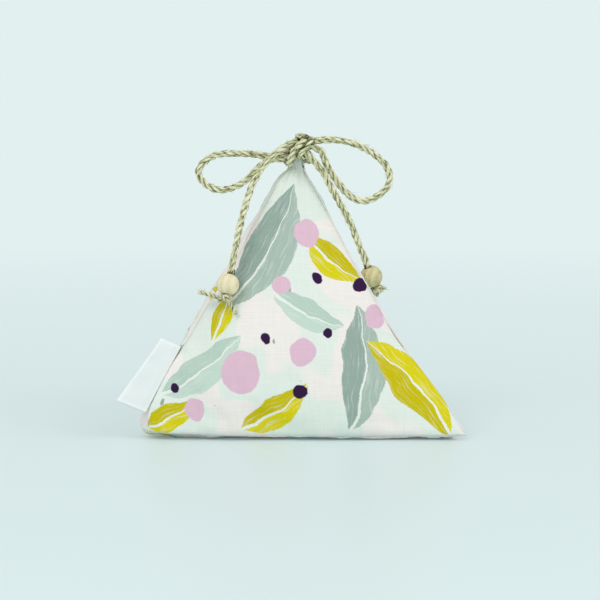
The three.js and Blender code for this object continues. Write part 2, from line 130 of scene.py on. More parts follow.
def smooth_line(points, step):
    """Points of a smooth curve through points, step apart, as the CAD model draws its cords."""
    p = np.array(points, float)
    p = np.vstack([2 * p[0] - p[1], p, 2 * p[-1] - p[-2]])
    dense = []
    for a, b, c, d in zip(p, p[1:], p[2:], p[3:]):
        tb = np.linalg.norm(b - a) ** 0.5
        tc = tb + np.linalg.norm(c - b) ** 0.5
        td = tc + np.linalg.norm(d - c) ** 0.5
        t = np.linspace(tb, tc, 40, endpoint=False)[:, None]
        ab = ((tb - t) * a + t * b) / tb
        bc = ((tc - t) * b + (t - tb) * c) / (tc - tb)
        cd = ((td - t) * c + (t - tc) * d) / (td - tc)
        abc = ((tc - t) * ab + t * bc) / tc
        bcd = ((td - t) * bc + (t - tb) * cd) / (td - tb)
        dense.append(((tc - t) * abc + (t - tb) * bcd) / (tc - tb))
    dense = np.vstack([*dense, p[-2:-1]])
    run = distances(dense)
    at = np.linspace(0, run[-1], max(2, round(run[-1] / step)) + 1)
    return np.column_stack([np.interp(at, run, dense[:, k]) for k in range(3)])


def line_frames(line):
    """Unit tangents and two turn-free normals along a line, and the distance along it."""
    tangents = unit(np.gradient(line, axis=0))
    side = np.cross(tangents[0], [0.3, 1, 0.2])
    normals = []
    for tangent in tangents:
        side = side - tangent * (side @ tangent)
        side = side / np.linalg.norm(side)
        normals.append(side)
    normals = np.array(normals)
    return tangents, normals, np.cross(tangents, normals), distances(line)


def drift(rng, run, spacing, size):
    """A slow random change along a line."""
    at = np.arange(0, run[-1] + 2 * spacing, spacing)
    return np.interp(run, at, rng.normal(0, size, len(at)))


def mesh_piece(name, points, faces, material, layer=None, coords=()):
    """A smooth piece from points in mm, with its face corners' coordinates in a named layer."""
    mesh = bpy.data.meshes.new(name)
    mesh.from_pydata(np.asarray(points) * MM, [], faces)
    if layer:
        mesh.uv_layers.new(name=layer).uv.foreach_set("vector", np.array(coords, float).ravel())
    mesh.shade_smooth()
    mesh.materials.append(material)
    return linked(name, mesh)


class MeshParts:
    """Vertices, faces and face corner coordinates, gathered into one mesh."""

    def __init__(self):
        self.points, self.faces, self.coords, self.count = [], [], [], 0

    def tube(self, line, radii, outward, sides, run):
        """A closed tube; the coordinates' seam is on the side away from outward."""
        tangents = unit(np.gradient(line, axis=0))
        outward = unit(outward - tangents * np.sum(outward * tangents, axis=1)[:, None])
        sideways = np.cross(tangents, outward)
        turn = 2 * math.pi * (np.arange(sides) / sides - 0.5)
        cosines, sines = np.cos(turn)[None, :, None], np.sin(turn)[None, :, None]
        ring = cosines * outward[:, None] + sines * sideways[:, None]
        points = line[:, None] + radii[:, None, None] * ring
        start, rows = self.count, len(line)
        self.points.append(points.reshape(-1, 3))
        self.count += rows * sides
        for i in range(rows - 1):
            for k in range(sides):
                a, b = start + i * sides + k, start + i * sides + (k + 1) % sides
                self.faces.append((a, b, b + sides, a + sides))
                u0, u1 = k / sides, (k + 1) / sides
                self.coords += [(u0, run[i]), (u1, run[i]), (u1, run[i + 1]), (u0, run[i + 1])]
        for i, order in ((0, -1), (rows - 1, 1)):
            self.faces.append(tuple(start + i * sides + k for k in range(sides))[::order])
            self.coords += [(k / sides, run[i]) for k in range(sides)][::order]

    def piece(self, name, material):
        return mesh_piece(name, np.vstack(self.points), self.faces, material, "lay", self.coords)


def lay_cord(parts, line, seed, strands=3, offset=STRAND_OFFSET, radius=STRAND_RADIUS, lay=LAY, sides=9,
             fuzz=FUZZ, worn=0):
    """Strands laid round a line, with fuzz fibre ends to a mm standing off, but none on its last worn mm."""
    rng = np.random.default_rng(seed)
    tangents, normals, binormals, run = line_frames(line)
    first = rng.uniform(0, 2 * math.pi)
    for strand in range(strands):
        turn = first + 2 * math.pi * (strand / strands + run / lay) + drift(rng, run, *TURN_DRIFT)
        outward = np.cos(turn)[:, None] * normals + np.sin(turn)[:, None] * binormals
        middle = line + (offset * (1 + drift(rng, run, *OFFSET_DRIFT)))[:, None] * outward
        radii = radius * (1 + drift(rng, run, *GIRTH_DRIFT))
        parts.tube(middle, radii, outward, sides, run + STRAND_SHIFT * strand + seed)
    for _ in range(int(fuzz * run[-1])):
        i = rng.integers(1, len(line) - 1)
        turn = rng.uniform(0, 2 * math.pi)
        out = math.cos(turn) * normals[i] + math.sin(turn) * binormals[i]
        lean = tangents[i] * rng.choice([-1, 1]) * rng.uniform(*HAIR_LEAN) + out * rng.uniform(*HAIR_RISE)
        lean /= np.linalg.norm(lean)
        curl = rng.normal(0, HAIR_CURL, 3)
        length = rng.uniform(*HAIR_LENGTH)
        if run[i] > run[-1] - worn:
            continue
        count = len(HAIR_RADII)
        t = np.linspace(0, 1, count)[:, None]
        hair = line[i] + out * (offset + 0.75 * radius) + length * (t * lean + t * t * curl)
        across = np.repeat(np.cross(lean, curl)[None], count, axis=0)
        parts.tube(hair, HAIR_RADII, across, 3, np.full(count, run[i] + seed))


def put(tree, kind, inputs=(), **settings):
    """A node of a kind, with settings, and with its inputs linked or set by name or number."""
    node = tree.nodes.new(kind)
    for key, value in settings.items():
        setattr(node, key, value)
    for key, value in dict(inputs).items():
        if isinstance(value, bpy.types.NodeSocket):
            tree.links.new(value, node.inputs[key])
        else:
            node.inputs[key].default_value = value
    return node


def sums(tree, operation, *values):
    inputs = dict(enumerate(values))
    return put(tree, "ShaderNodeMath", inputs, operation=operation).outputs[0]


def ramp(tree, factor, stops):
    """A colour ramp of (place, linear colour) stops."""
    node = put(tree, "ShaderNodeValToRGB", {"Fac": factor})
    elements = node.color_ramp.elements
    while len(elements) < len(stops):
        elements.new(0.5)
    for element, (place, colour) in zip(elements, stops):
        element.position = place
        element.color = (*colour, 1)
    return node.outputs["Color"]


def seen(*levels):
    """The linear colour of an sRGB one, whose three levels go from 0 to 255."""
    shares = [level / 255 for level in levels]
    return tuple(x / 12.92 if x <= 0.04045 else ((x + 0.055) / 1.055) ** 2.4 for x in shares)


def finish_material(name, **sockets):
    material = bpy.data.materials.new(name)
    material.use_nodes = True
    shader = material.node_tree.nodes["Principled BSDF"]
    for key, value in sockets.items():
        shader.inputs[key.replace("_", " ")].default_value = value
    return material, material.node_tree, shader


def dress(tree, shader, colour, height, strength, distance, invert=False):
    """Gives a shader its colour, and the bumps of a height that rise a distance in metres."""
    tree.links.new(colour, shader.inputs["Base Color"])
    look = {"Height": height, "Strength": strength, "Distance": distance}
    bump = put(tree, "ShaderNodeBump", look, invert=invert)
    tree.links.new(bump.outputs[0], shader.inputs["Normal"])


def hemp_finish():
    material, tree, shader = finish_material("hemp_fibres", Roughness=0.92)
    shader.inputs["Sheen Weight"].default_value = 0.15
    lay = put(tree, "ShaderNodeUVMap", uv_map="lay")
    split = put(tree, "ShaderNodeSeparateXYZ", {0: lay.outputs[0]})
    around, along = split.outputs[0], split.outputs[1]

    def fibres(count, twist, stretch):
        across = sums(tree, "MULTIPLY_ADD", around, count, sums(tree, "MULTIPLY", along, twist))
        place = put(tree, "ShaderNodeCombineXYZ", {0: across, 1: sums(tree, "MULTIPLY", along, stretch)})
        look = {"Vector": place.outputs[0], "Scale": 1.0, "Detail": 2.0, "Roughness": 0.6}
        return put(tree, "ShaderNodeTexNoise", look).outputs[0]

    bundles, streaks, patches = fibres(6, 1.1, 0.3), fibres(15, 1.6, 0.45), fibres(0.4, 0, 0.16)
    # painted shade: each strand's inner side, down in the lay against the others, is darkened
    outer = sums(tree, "SINE", sums(tree, "MULTIPLY", around, math.pi))
    # painted shade: darkens the cord where strands touch and where the tails go into the beads
    contact_shade = put(tree, "ShaderNodeAttribute", attribute_name="contact_shade").outputs["Fac"]
    tone = sums(tree, "MULTIPLY_ADD", bundles, 1.9, sums(tree, "MULTIPLY_ADD", streaks, 0.8, -0.95))
    tone = sums(tree, "ADD", tone, sums(tree, "MULTIPLY", patches, 0.3))
    tone = sums(tree, "MULTIPLY", tone, sums(tree, "MULTIPLY_ADD", outer, 1.0, 0.1))
    tone = sums(tree, "MULTIPLY", tone, sums(tree, "MULTIPLY_ADD", contact_shade, -0.6, 1.0))
    colour = ramp(tree, tone, [
        (0.14, seen(60, 61, 26)), (0.31, seen(140, 142, 96)), (0.48, seen(200, 200, 158)),
        (0.64, seen(232, 229, 190)), (0.82, seen(247, 243, 214)),
    ])
    dress(tree, shader, colour, sums(tree, "ADD", streaks, bundles), 0.7, 0.0002)
    return material


hemp = hemp_finish()


def tail_points(curve, straight, bead):
    """The CAD route of a tail, from the knot to its end below the bead, and its direction there."""
    straight, bead = np.array(straight), np.array(bead)
    down = (bead - straight) / np.linalg.norm(bead - straight)
    end = bead + down * BORE_HALF
    last = [list(straight + (end - straight) * share) for share in (0, 0.25, 0.5, 0.75, 1)]
    return curve + last, down


left_route, left_down = tail_points(LEFT_TAIL_CURVE, LEFT_TAIL_STRAIGHT, LEFT_BEAD)
right_route, right_down = tail_points(RIGHT_TAIL_CURVE, RIGHT_TAIL_STRAIGHT, RIGHT_BEAD)

# Each strand of the bow starts, and a loop also ends, under the turns of the knot.
FREE_CORDS = {
    "left_tail": [[-1.2, -0.6, 3.0], [-3.0, -1.6, 2.4], [-4.6, -1.9, 1.7]] + left_route,
    "right_tail": [[0.2, -0.6, 0.5], [1.8, -1.4, -1.0]] + right_route,
    "left_loop": [
        [-0.6, 1.5, 0.8], [-3.0, 1.6, -0.1], *LEFT_LOOP, [-3.0, -0.1, -2.3], [-0.9, -0.2, -1.5],
    ],
    "right_loop": [
        [1.0, 1.5, 2.1], [3.0, 1.6, 2.6], *RIGHT_LOOP, [4.4, -0.2, 0.9], [2.6, -0.8, 1.2],
    ],
}
BEND_TOWARDS = {
    "left_tail": (-0.97, 0, 0.1), "right_tail": (0.78, 0, -0.63), "left_loop": (-1, 0, -0.2),
    "right_loop": (1, 0, 0.15),
}
BEND_FROM, BEND_TO = 2.0, 10.0  # mm from the knot's middle
BEAD_SLIDE = 13  # the beads rub the fibre ends off the tails so far up
CORD_STEP = 0.3

cords, cord_lines = {}, {}
for number, (body, route) in enumerate(FREE_CORDS.items()):
    line = smooth_line(KNOT + np.array(route), CORD_STEP)
    parts = MeshParts()
    rubbed = BEAD_SLIDE + 2 * BORE_HALF if "tail" in body else 0
    lay_cord(parts, line, seed=11 + 7 * number, worn=rubbed)
    cord = parts.piece(body + "_cord", hemp)
    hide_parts(body)
    start, end = (KNOT + np.outer((BEND_FROM, BEND_TO), BEND_TOWARDS[body])) * MM
    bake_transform(cord)
    cords[body], cord_lines[body] = cord, line


# Knot and neck turn: the same cord goes once round the gathered tip and up across the front of
# the knot, beside a second turn, over the strands that leave it. Where one strand lies close on
# another, and where a tail goes into its bead, the cord is darkened as painted shade.
NECK_HEIGHT, NECK_AXIS, NECK_TURN_RADIUS = 90.5, -1.086, 3.9
KNOT_STRANDS = [
    [[1.4, 1.2, -1.9], [0.3, -0.8, -2.1], [-0.6, -2.5, -1.2], [0.6, -3.4, 0.3], [1.8, -3.2, 1.6],
     [2.9, -2.0, 2.9], [3.3, -0.2, 3.5], [2.8, 1.4, 3.3]],
    [[-1.2, 1.6, 3.0], [-0.6, 0.1, 4.2], [0.2, -0.9, 4.7], [1.2, -1.3, 4.4], [2.2, -1.3, 3.6],
     [2.8, -0.6, 2.6]],
    [[-3.4, 0.4, 1.4], [-1.2, -0.6, 0.6], [0.8, -0.6, -0.4], [2.8, 0.4, -1.2]],
    [[-2.6, 1.4, -1.6], [-0.8, 0.9, 0.0], [1.0, 0.9, 1.0], [2.8, 1.4, 1.6]],
]
knot_lines = [smooth_line(KNOT + np.array(route), CORD_STEP) for route in KNOT_STRANDS]
knot_parts = MeshParts()
for number, line in enumerate(knot_lines):
    lay_cord(knot_parts, line, seed=51 + 3 * number)
knot_cords = knot_parts.piece("knot_turns", hemp)
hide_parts("bow_knot")
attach(knot_cords, "sachet")

neck_route = [[2.6, -3.9, 92.9], [2.9, -2.0, 91.3]]
for i in range(7):
    angle = math.pi * i / 6
    x, y = NECK_TURN_RADIUS * math.cos(angle), NECK_TURN_RADIUS * math.sin(angle)
    neck_route.append([NECK_AXIS + x, y, NECK_HEIGHT])
OVER_THE_FRONT = [
    [-4.7, 3.0, -4.1], [-4.2, 1.0, -4.5], [-3.9, -0.8, -4.2], [-3.5, -2.2, -2.9], [-2.8, -3.1, -1.1],
    [-1.6, -3.6, 0.8], [-0.1, -3.5, 2.1], [1.1, -2.6, 3.1], [2.0, -1.0, 3.7], [2.3, 0.8, 3.5],
]
neck_route += [list(KNOT + np.array(point)) for point in OVER_THE_FRONT]
neck_line = smooth_line(neck_route, CORD_STEP)
neck_parts = MeshParts()
lay_cord(neck_parts, neck_line, seed=83)
neck_cord = neck_parts.piece("neck_turn_cord", hemp)
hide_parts("neck_turn")
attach(neck_cord, "sachet")

# painted shade: the cord is darkened near the knot where strands lie close, and for a ring where a tail goes
# into its bead
SHADE_NEAR, SHADE_GAP, MOUTH_SHADE = 16, 0.5, 0.8  # mm from the knot, between strands, along a tail


def hill(distance, width):
    """1 where the distance is 0, falling smoothly to 0 a few widths away."""
    return np.exp(-((distance / width) ** 2))


all_lines = [*cord_lines.values(), *knot_lines, neck_line]
crossing_lines = [line[np.linalg.norm(line - KNOT, axis=1) < SHADE_NEAR + 4] for line in all_lines]
mouths = {  # where each tail goes into its bead
    cords["left_tail"]: (KNOT + LEFT_BEAD - left_down * BORE_HALF, left_down),
    cords["right_tail"]: (KNOT + RIGHT_BEAD - right_down * BORE_HALF, right_down),
}
for piece in [*cords.values(), knot_cords, neck_cord]:
    points = np.array([vertex.co for vertex in piece.data.vertices]) / MM
    contact_shade = np.zeros(len(points))
    near = np.flatnonzero(np.linalg.norm(points - KNOT, axis=1) < SHADE_NEAR)
    apart = [np.min(np.linalg.norm(points[near][:, None] - line, axis=2), axis=1) for line in crossing_lines]
    gap = np.sort(apart, axis=0)[1] - CORD / 2
    contact_shade[near] = hill(np.maximum(gap, 0), SHADE_GAP)
    if piece in mouths:
        mouth, down = mouths[piece]
        contact_shade = np.maximum(contact_shade, hill((points - mouth) @ down, MOUTH_SHADE))
    piece.data.attributes.new("contact_shade", "FLOAT", "POINT").data.foreach_set("value", contact_shade)


# Beads: one on each tail, turned from pale bare wood and sanded, with a drilled bore whose mouths
# are broken a little. The growth rings show as faint stripes and the pores as short dashes.
def wood_finish(name, tones):
    material, tree, shader = finish_material(name, Roughness=0.62)
    spot = put(tree, "ShaderNodeTexCoord")
    upright = {"Vector": spot.outputs["Object"], "Rotation": (0.3, -0.25, 0.5), "Scale": (1000, 1000, 1000)}
    turn = put(tree, "ShaderNodeMapping", upright).outputs[0]
    growth = {"Vector": turn, "Scale": 0.16, "Distortion": 5.0, "Detail": 3.0, "Detail Scale": 0.6}
    rings = put(tree, "ShaderNodeTexWave", growth, bands_direction="X").outputs["Fac"]
    stretch = put(tree, "ShaderNodeMapping", {"Vector": turn, "Scale": (2.2, 2.2, 0.35)}).outputs[0]
    dashes = {"Vector": stretch, "Scale": 1.6, "Detail": 4.0, "Roughness": 0.65}
    pores = put(tree, "ShaderNodeTexNoise", dashes).outputs[0]
    tone = sums(tree, "MULTIPLY_ADD", rings, 0.2, sums(tree, "MULTIPLY", pores, 0.9))
    stops = zip((0.25, 0.45, 0.65, 0.9), tones)
    colour = ramp(tree, tone, [(place, seen(*shade)) for place, shade in stops])
    dress(tree, shader, colour, pores, 0.35, 0.00012)
    return material


PALE_WOOD = [(190, 172, 126), (231, 218, 176), (242, 232, 198), (248, 240, 216)]
# painted shade: the right bead's tones are the pale wood's darkened, as that bead lies in shade
SHADED_WOOD = [(140, 124, 78), (202, 189, 138), (218, 207, 158), (230, 222, 182)]
bead_wood = {
    "left": wood_finish("pale_sanded_wood", PALE_WOOD),
    "right": wood_finish("shaded_sanded_wood", SHADED_WOOD),
}
BROKEN_EDGE = 0.3


def along_tail(place, down):
    """The frame of a bead on a tail: its Z goes up the tail."""
    turn = Vector((0, 0, 1)).rotation_difference(Vector(-down))
    return Matrix.Translation(Vector((KNOT + np.array(place)) * MM)) @ turn.to_matrix().to_4x4()


def turned_bead(name, frame_of_bead, wood):
    bpy.ops.object.select_all(action="DESELECT")
    bpy.ops.mesh.primitive_uv_sphere_add(segments=48, ring_count=32, radius=BEAD_RADIUS * MM)
    obj = bpy.context.object
    obj.name = obj.data.name = name
    bpy.ops.object.mode_set(mode="EDIT")
    bpy.ops.mesh.select_mode(type="VERT")
    for side in (1, -1):
        bpy.ops.mesh.select_all(action="SELECT")
        mouth = (0, 0, side * BORE_HALF * MM)
        bpy.ops.mesh.bisect(plane_co=mouth, plane_no=(0, 0, side), clear_outer=True)
    bpy.ops.mesh.select_all(action="DESELECT")
    bpy.ops.mesh.select_mode(type="EDGE")
    bpy.ops.mesh.select_non_manifold()
    bpy.ops.mesh.bridge_edge_loops(number_cuts=6)
    bpy.ops.mesh.select_all(action="SELECT")
    bpy.ops.mesh.normals_make_consistent(inside=False)
    bpy.ops.object.mode_set(mode="OBJECT")
    bevel = obj.modifiers.new("broken_mouths", "BEVEL")
    bevel.width, bevel.segments = BROKEN_EDGE * MM, 3
    bevel.limit_method, bevel.angle_limit = "ANGLE", math.radians(50)
    bpy.ops.object.modifier_apply(modifier=bevel.name)
    obj.data.transform(frame_of_bead)
    bpy.ops.object.shade_smooth_by_angle(angle=math.radians(40))
    obj.data.materials.append(wood)
    return obj


# End knots: under each bead the hemp cord is opened into plies of two strands, which are tied once
# round each other, so that the bead can't slip off. Their cut ends stick out, two to a knot.
PLY_LAY, PLY_STRAND_RADIUS, PLY_OFFSET, PLY_FUZZ = 3.4, 0.46, 0.3, 5
WRAP_WIDTH, WRAP_RISE, WRAP_DEPTH = 1.65, 0.75, 1.5  # half sizes of the turn round the knot
END_KNOT_GAP, END_KNOT_HALF_HEIGHT = 0.3, 1.2
KNOT_DROP = BORE_HALF + END_KNOT_GAP + END_KNOT_HALF_HEIGHT
LEFT_PLY_ENDS = [
    [[-0.6, 0.1, 0], [-2.8, 0.4, -0.3], [-5.8, 0.7, -0.5], [-9.2, 1.1, -0.6]],
    [[0.6, 0, -0.4], [1.9, -1.2, -0.8], [3.2, -2.7, -1.0], [4.4, -4.2, -1.0]],
]
RIGHT_PLY_ENDS = [
    [[0.5, 0.1, 0], [1.4, -0.1, 0.2], [2.4, -0.5, 0.3], [3.2, -0.9, 0.3]],
    [[0.1, 0, -0.3], [0.1, -0.9, -0.5], [-0.2, -1.7, -0.5], [-0.5, -2.4, -0.5]],
]
INTO_THE_BORE = [[0, KNOT_DROP - BORE_HALF + 1.5, 0], [0.2, 0.8, 0.3], [-0.3, 0, -0.3], [0.2, -0.7, 0.2]]


def end_knot(name, place, down, ply_ends, seed):
    """The plies' one knot round each other, then their two ends."""
    up = -np.array(down)
    turn = np.array(Vector((0, 1, 0)).rotation_difference(Vector(up)).to_matrix())
    middle = KNOT + np.array(place) - up * KNOT_DROP
    parts = MeshParts()
    wrap = []
    for i in range(15):
        angle = 2 * math.pi * i / 10
        rise = WRAP_RISE * math.sin(1.5 * angle + 0.4)
        wrap.append([WRAP_WIDTH * math.cos(angle), rise, WRAP_DEPTH * math.sin(angle)])
    for number, line in enumerate([wrap, INTO_THE_BORE] + ply_ends):
        points = middle + np.array(line, float) @ turn.T
        lay_cord(parts, smooth_line(points, 0.2), seed + number, strands=2, offset=PLY_OFFSET,
                 radius=PLY_STRAND_RADIUS, lay=PLY_LAY, sides=8, fuzz=PLY_FUZZ)
    return parts.piece(name, hemp)


TAIL_ENDS = {
    "left": (LEFT_BEAD, left_down, LEFT_PLY_ENDS, 101),
    "right": (RIGHT_BEAD, right_down, RIGHT_PLY_ENDS, 131),
}
for side, (place, down, ply_ends, seed) in TAIL_ENDS.items():
    bead = turned_bead(side + "_wood_bead", along_tail(place, down), bead_wood[side])
    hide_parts(side + "_bead")
    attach(bead, side + "_bead")
    knot = end_knot(side + "_ply_knot", place, down, ply_ends, seed)
    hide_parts(side + "_end_knot")
    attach(knot, side + "_tail")
    body = side + "_tail"


# Cover: four triangles of printed cotton sewn along six seams and stuffed tight with buds, so that
# each face crowns. The cloth is gathered under the bow, rolls in at the stitching and puckers beside it.
BASE_EDGE, TIP_HEIGHT, TIP_LEAN, CORNER_LIFT, BASE_SEAM_SAG = 109, 100, -1.2, 3.2, 2.2
MIDDLE = BASE_EDGE / (2 * math.sqrt(3))
CORNERS = np.array([
    [-BASE_EDGE / 2, -MIDDLE, CORNER_LIFT], [BASE_EDGE / 2, -MIDDLE, CORNER_LIFT],
    [0, 2 * MIDDLE, CORNER_LIFT], [TIP_LEAN, 0, TIP_HEIGHT],
])
FRONT_LEFT, FRONT_RIGHT, BACK, TIP = range(4)
PANELS = {  # corners and crown
    "front_panel": ((FRONT_LEFT, FRONT_RIGHT, TIP), 9.0),
    "right_panel": ((FRONT_RIGHT, BACK, TIP), 3.5),
    "left_panel": ((BACK, FRONT_LEFT, TIP), 10.4),
    "base_panel": ((FRONT_RIGHT, FRONT_LEFT, BACK), 1.6),
}
CROWN_POWER = 0.75
SEAM_DRAW = (1.4, 6.2, 2.0)  # mm that a seam is drawn in at its middle, by the corner at its foot
SEAM_SWAY = (4.5, 3.5, 0.0)  # and how much more above its middle than below
NECK_SQUEEZE, NECK_REACH = 0.5, 6
CLOTH = 0.5


def panel_grid(rows):
    """The shares of a panel's three corners at each point of a triangular grid, and its faces."""
    shares, faces, at = [], [], {}
    for row in range(rows + 1):
        for col in range(rows + 1 - row):
            at[row, col] = len(shares)
            shares.append(((rows - row - col) / rows, col / rows, row / rows))
    for row in range(rows):
        for col in range(rows - row):
            faces.append((at[row, col], at[row, col + 1], at[row + 1, col]))
            if col < rows - row - 1:
                faces.append((at[row, col + 1], at[row + 1, col + 1], at[row + 1, col]))
    return np.array(shares), faces


def flat_normal(panel):
    a, b, c = CORNERS[list(PANELS[panel][0])]
    normal = np.cross(b - a, c - a)
    return normal / np.linalg.norm(normal)


def to_axis(corner):
    """The level direction from a corner of the base to the upright axis."""
    return -CORNERS[corner] * [1, 1, 0] / np.linalg.norm(CORNERS[corner, :2])


def cover_points(panel, shares):
    """Places on a panel of the stuffed cover, as the CAD model has them."""
    corners, crown = PANELS[panel]
    points = shares @ CORNERS[list(corners)]
    for i, j in ((0, 1), (1, 2), (2, 0)):
        bow = (4 * shares[:, i] * shares[:, j])[:, None]
        if TIP not in (corners[i], corners[j]):
            points = points - bow * [0, 0, BASE_SEAM_SAG]
            continue
        foot, top = (j, i) if corners[i] == TIP else (i, j)
        corner = corners[foot]
        above = (shares[:, top] - shares[:, foot])[:, None]
        points = points + to_axis(corner) * bow * (SEAM_DRAW[corner] + SEAM_SWAY[corner] * above)
    fullness = np.maximum(0, 27 * np.prod(shares, axis=1)) ** CROWN_POWER
    points = points + crown * fullness[:, None] * flat_normal(panel)
    points[:, 2] = np.maximum(points[:, 2], 0)
    share = 1 - NECK_SQUEEZE * hill(points[:, 2] - NECK_HEIGHT, NECK_REACH)
    axis = TIP_LEAN * points[:, 2] / TIP_HEIGHT
    return np.column_stack([axis + (points[:, 0] - axis) * share, points[:, 1] * share, points[:, 2]])


CLOTH_MASS, STUFFING_PRESSURE, CLOTH_SHRINK = 0.02, 4, -0.03  # the cloth is cut ample
SWELL_FRAMES, MOST_SWELL, SWELL_SMOOTHING = 20, 0.6, 4
HELD_ABOVE, HELD_BELOW = 80, 0.05  # the bow and the table hold the cloth past these heights
BEAD_PLACES = KNOT + np.array([LEFT_BEAD, RIGHT_BEAD])
BEAD_ROOM, BEAD_ROOM_FADE = 6, 14  # the cloth doesn't swell against a bead


def swelled(points, faces, held):
    """Points of a closed cover after its cloth, a little ample, has swelled under the stuffing."""
    mesh = bpy.data.meshes.new("stuffing")
    mesh.from_pydata(points * MM, [], faces)
    obj = linked("stuffing", mesh)
    obj.vertex_groups.new(name="held").add([int(i) for i in np.flatnonzero(held)], 1.0, "REPLACE")
    cloth = obj.modifiers.new("cloth", "CLOTH")
    cloth.settings.vertex_group_mass = "held"
    cloth.settings.mass = CLOTH_MASS
    cloth.settings.use_pressure = True
    cloth.settings.uniform_pressure_force = STUFFING_PRESSURE
    cloth.settings.shrink_min = CLOTH_SHRINK
    cloth.settings.effector_weights.gravity = 0
    cloth.point_cache.frame_start, cloth.point_cache.frame_end = 1, SWELL_FRAMES
    for number in range(1, SWELL_FRAMES + 1):
        scene.frame_set(number)
    end = obj.evaluated_get(bpy.context.evaluated_depsgraph_get()).to_mesh()
    moved = np.empty(3 * len(points))
    end.vertices.foreach_get("co", moved)
    bpy.data.objects.remove(obj)
    scene.frame_set(1)
    return moved.reshape(-1, 3) / MM


COARSE_ROWS, FINE_ROWS = 44, 132
coarse_shares, coarse_faces = panel_grid(COARSE_ROWS)
fine_shares, fine_faces = panel_grid(FINE_ROWS)
swell = {panel: np.zeros((len(coarse_shares), 3)) for panel in PANELS}
coarse = np.vstack([cover_points(panel, coarse_shares) for panel in PANELS])
welded, first, home = np.unique(coarse.round(3), axis=0, return_index=True, return_inverse=True)
home = home.reshape(len(PANELS), -1)
all_faces = [tuple(int(part[i]) for i in face) for part in home for face in coarse_faces]
on_seam = np.tile(np.min(coarse_shares, axis=1) < 1e-9, len(PANELS))[first]
held = on_seam | (welded[:, 2] > HELD_ABOVE) | (welded[:, 2] < HELD_BELOW)
moves = swelled(welded, all_faces, held) - welded
size = np.linalg.norm(moves, axis=1)[:, None]
moves *= MOST_SWELL * np.tanh(size / MOST_SWELL) / np.maximum(size, 1e-9)
clear = np.min(np.linalg.norm(welded[:, None] - BEAD_PLACES, axis=2), axis=1)
moves *= np.clip((clear - BEAD_ROOM) / BEAD_ROOM_FADE, 0, 1)[:, None]
for panel, part in zip(PANELS, home):
    swell[panel] = moves[part]


def finer(values):
    """Values of the coarse grid at the points of the fine one."""
    row, col = fine_shares[:, 2] * COARSE_ROWS, fine_shares[:, 1] * COARSE_ROWS
    i = np.minimum(np.floor(row + 1e-9), COARSE_ROWS - 1).astype(int)
    j = np.minimum(np.floor(col + 1e-9), COARSE_ROWS - 1 - i).astype(int)
    up, along = row - i, col - j
    low = (up + along <= 1 + 1e-9)[:, None]
    low_shares = np.column_stack([1 - up - along, along, up])
    high_shares = np.column_stack([1 - along, 1 - up, up + along - 1])

    def at(row, col):
        return row * (COARSE_ROWS + 1) - row * (row - 1) // 2 + col

    low_places = np.column_stack([at(i, j), at(i, j + 1), at(i + 1, j)])
    high_corner = np.minimum(at(i + 1, j + 1), len(values) - 1)
    high_places = np.column_stack([at(i + 1, j), at(i, j + 1), high_corner])
    shares, places = np.where(low, low_shares, high_shares), np.where(low, low_places, high_places)
    return np.sum(values[places] * shares[:, :, None], axis=1)


def spread(values, passes):
    """Values on the fine grid, smoothed by their neighbours."""
    corners = np.array(fine_faces)
    for _ in range(passes):
        total, count = np.zeros_like(values), np.zeros(len(values))
        for k in range(3):
            np.add.at(total, corners[:, k], values[corners].sum(axis=1))
            np.add.at(count, corners[:, k], 3)
        values = total / count[:, None]
    return values


def point_normals(points, faces):
    corners = np.array(faces)
    a, b, c = (points[corners[:, k]] for k in range(3))
    face_normals = np.cross(b - a, c - a)
    normals = np.zeros_like(points)
    for k in range(3):
        np.add.at(normals, corners[:, k], face_normals)
    return unit(normals)


STITCH = 2.7
PANEL_RISE = 0.9  # a panel's height to its base edge, nearly
ROLL, ROLL_WIDTH = 0.45, 0.8  # a seam's edge rolls in
PUCKER, PUCKER_START, PUCKER_REACH = 0.16, 1.1, 2.2  # at each stitch
RUCK, RUCK_START, RUCK_REACH, RUCK_LENGTHS = 0.11, 2.0, 7, (6, 15)  # longer folds across a seam
LUMP, LUMP_FADE = 0.2, 6  # the buds show through the cloth, but not at a seam
BLUNT_CORNERS, BLUNT_RADIUS = {FRONT_LEFT: 3.6, FRONT_RIGHT: 0.0, BACK: 1.6}, 5.5
LOW_CORNERS, LOW_RADIUS = {FRONT_LEFT: 0.45, FRONT_RIGHT: 1.5}, 22  # the front corners droop
SEAM_PULLS = {  # where the cloth draws a seam in, or lets it out: share of the way up, mm inwards, spread
    FRONT_LEFT: [(0.35, 0.4, 0.10), (0.56, 0.5, 0.08), (0.70, -0.9, 0.08)],
    FRONT_RIGHT: [(0.11, -1.0, 0.10), (0.31, 1.9, 0.09), (0.67, -0.9, 0.10)],
}
PULL_REACH = 14
FULL_CORNER = np.array([-51, -24, 6])  # the left panel is stuffed out beside its front corner
FULL_CORNER_SWELL, FULL_CORNER_RADIUS, FULL_CORNER_START = 3.6, 9, 2.5
FULL_BASE = [(-38, -28, 5.0), (40, -27, 5.5)]  # the base bulges to the table here, so far behind its seam
FULL_BASE_SWELL, FULL_BASE_RADIUS = 2.0, 12
HOLLOW, HOLLOW_BEHIND, HOLLOW_WIDTH = 0.8, 2.2, 2.0  # and lifts just behind the seam
HOLLOW_RIGHT_END, HOLLOW_FADE = 12, 5
PLEATS, PLEAT_DEPTH, PLEAT_FROM, PLEAT_RISE = 11, 0.45, 70, 16  # gathers up to the neck
TIED_HEIGHT, TIED_RADIUS, TIED_PLEAT = 3.6, 2.55, 0.35  # the neck inside the turn of cord
SLACK_HEIGHT, SLACK, SLACK_SPREAD = 85, 1.9, 3.2  # cloth that sags out on the left, just under it
NECK_DRAWN, DRAWN_ABOVE, DRAWN_SPREAD = 0.85, 1, 2.5  # the turn of cord draws the neck to the left


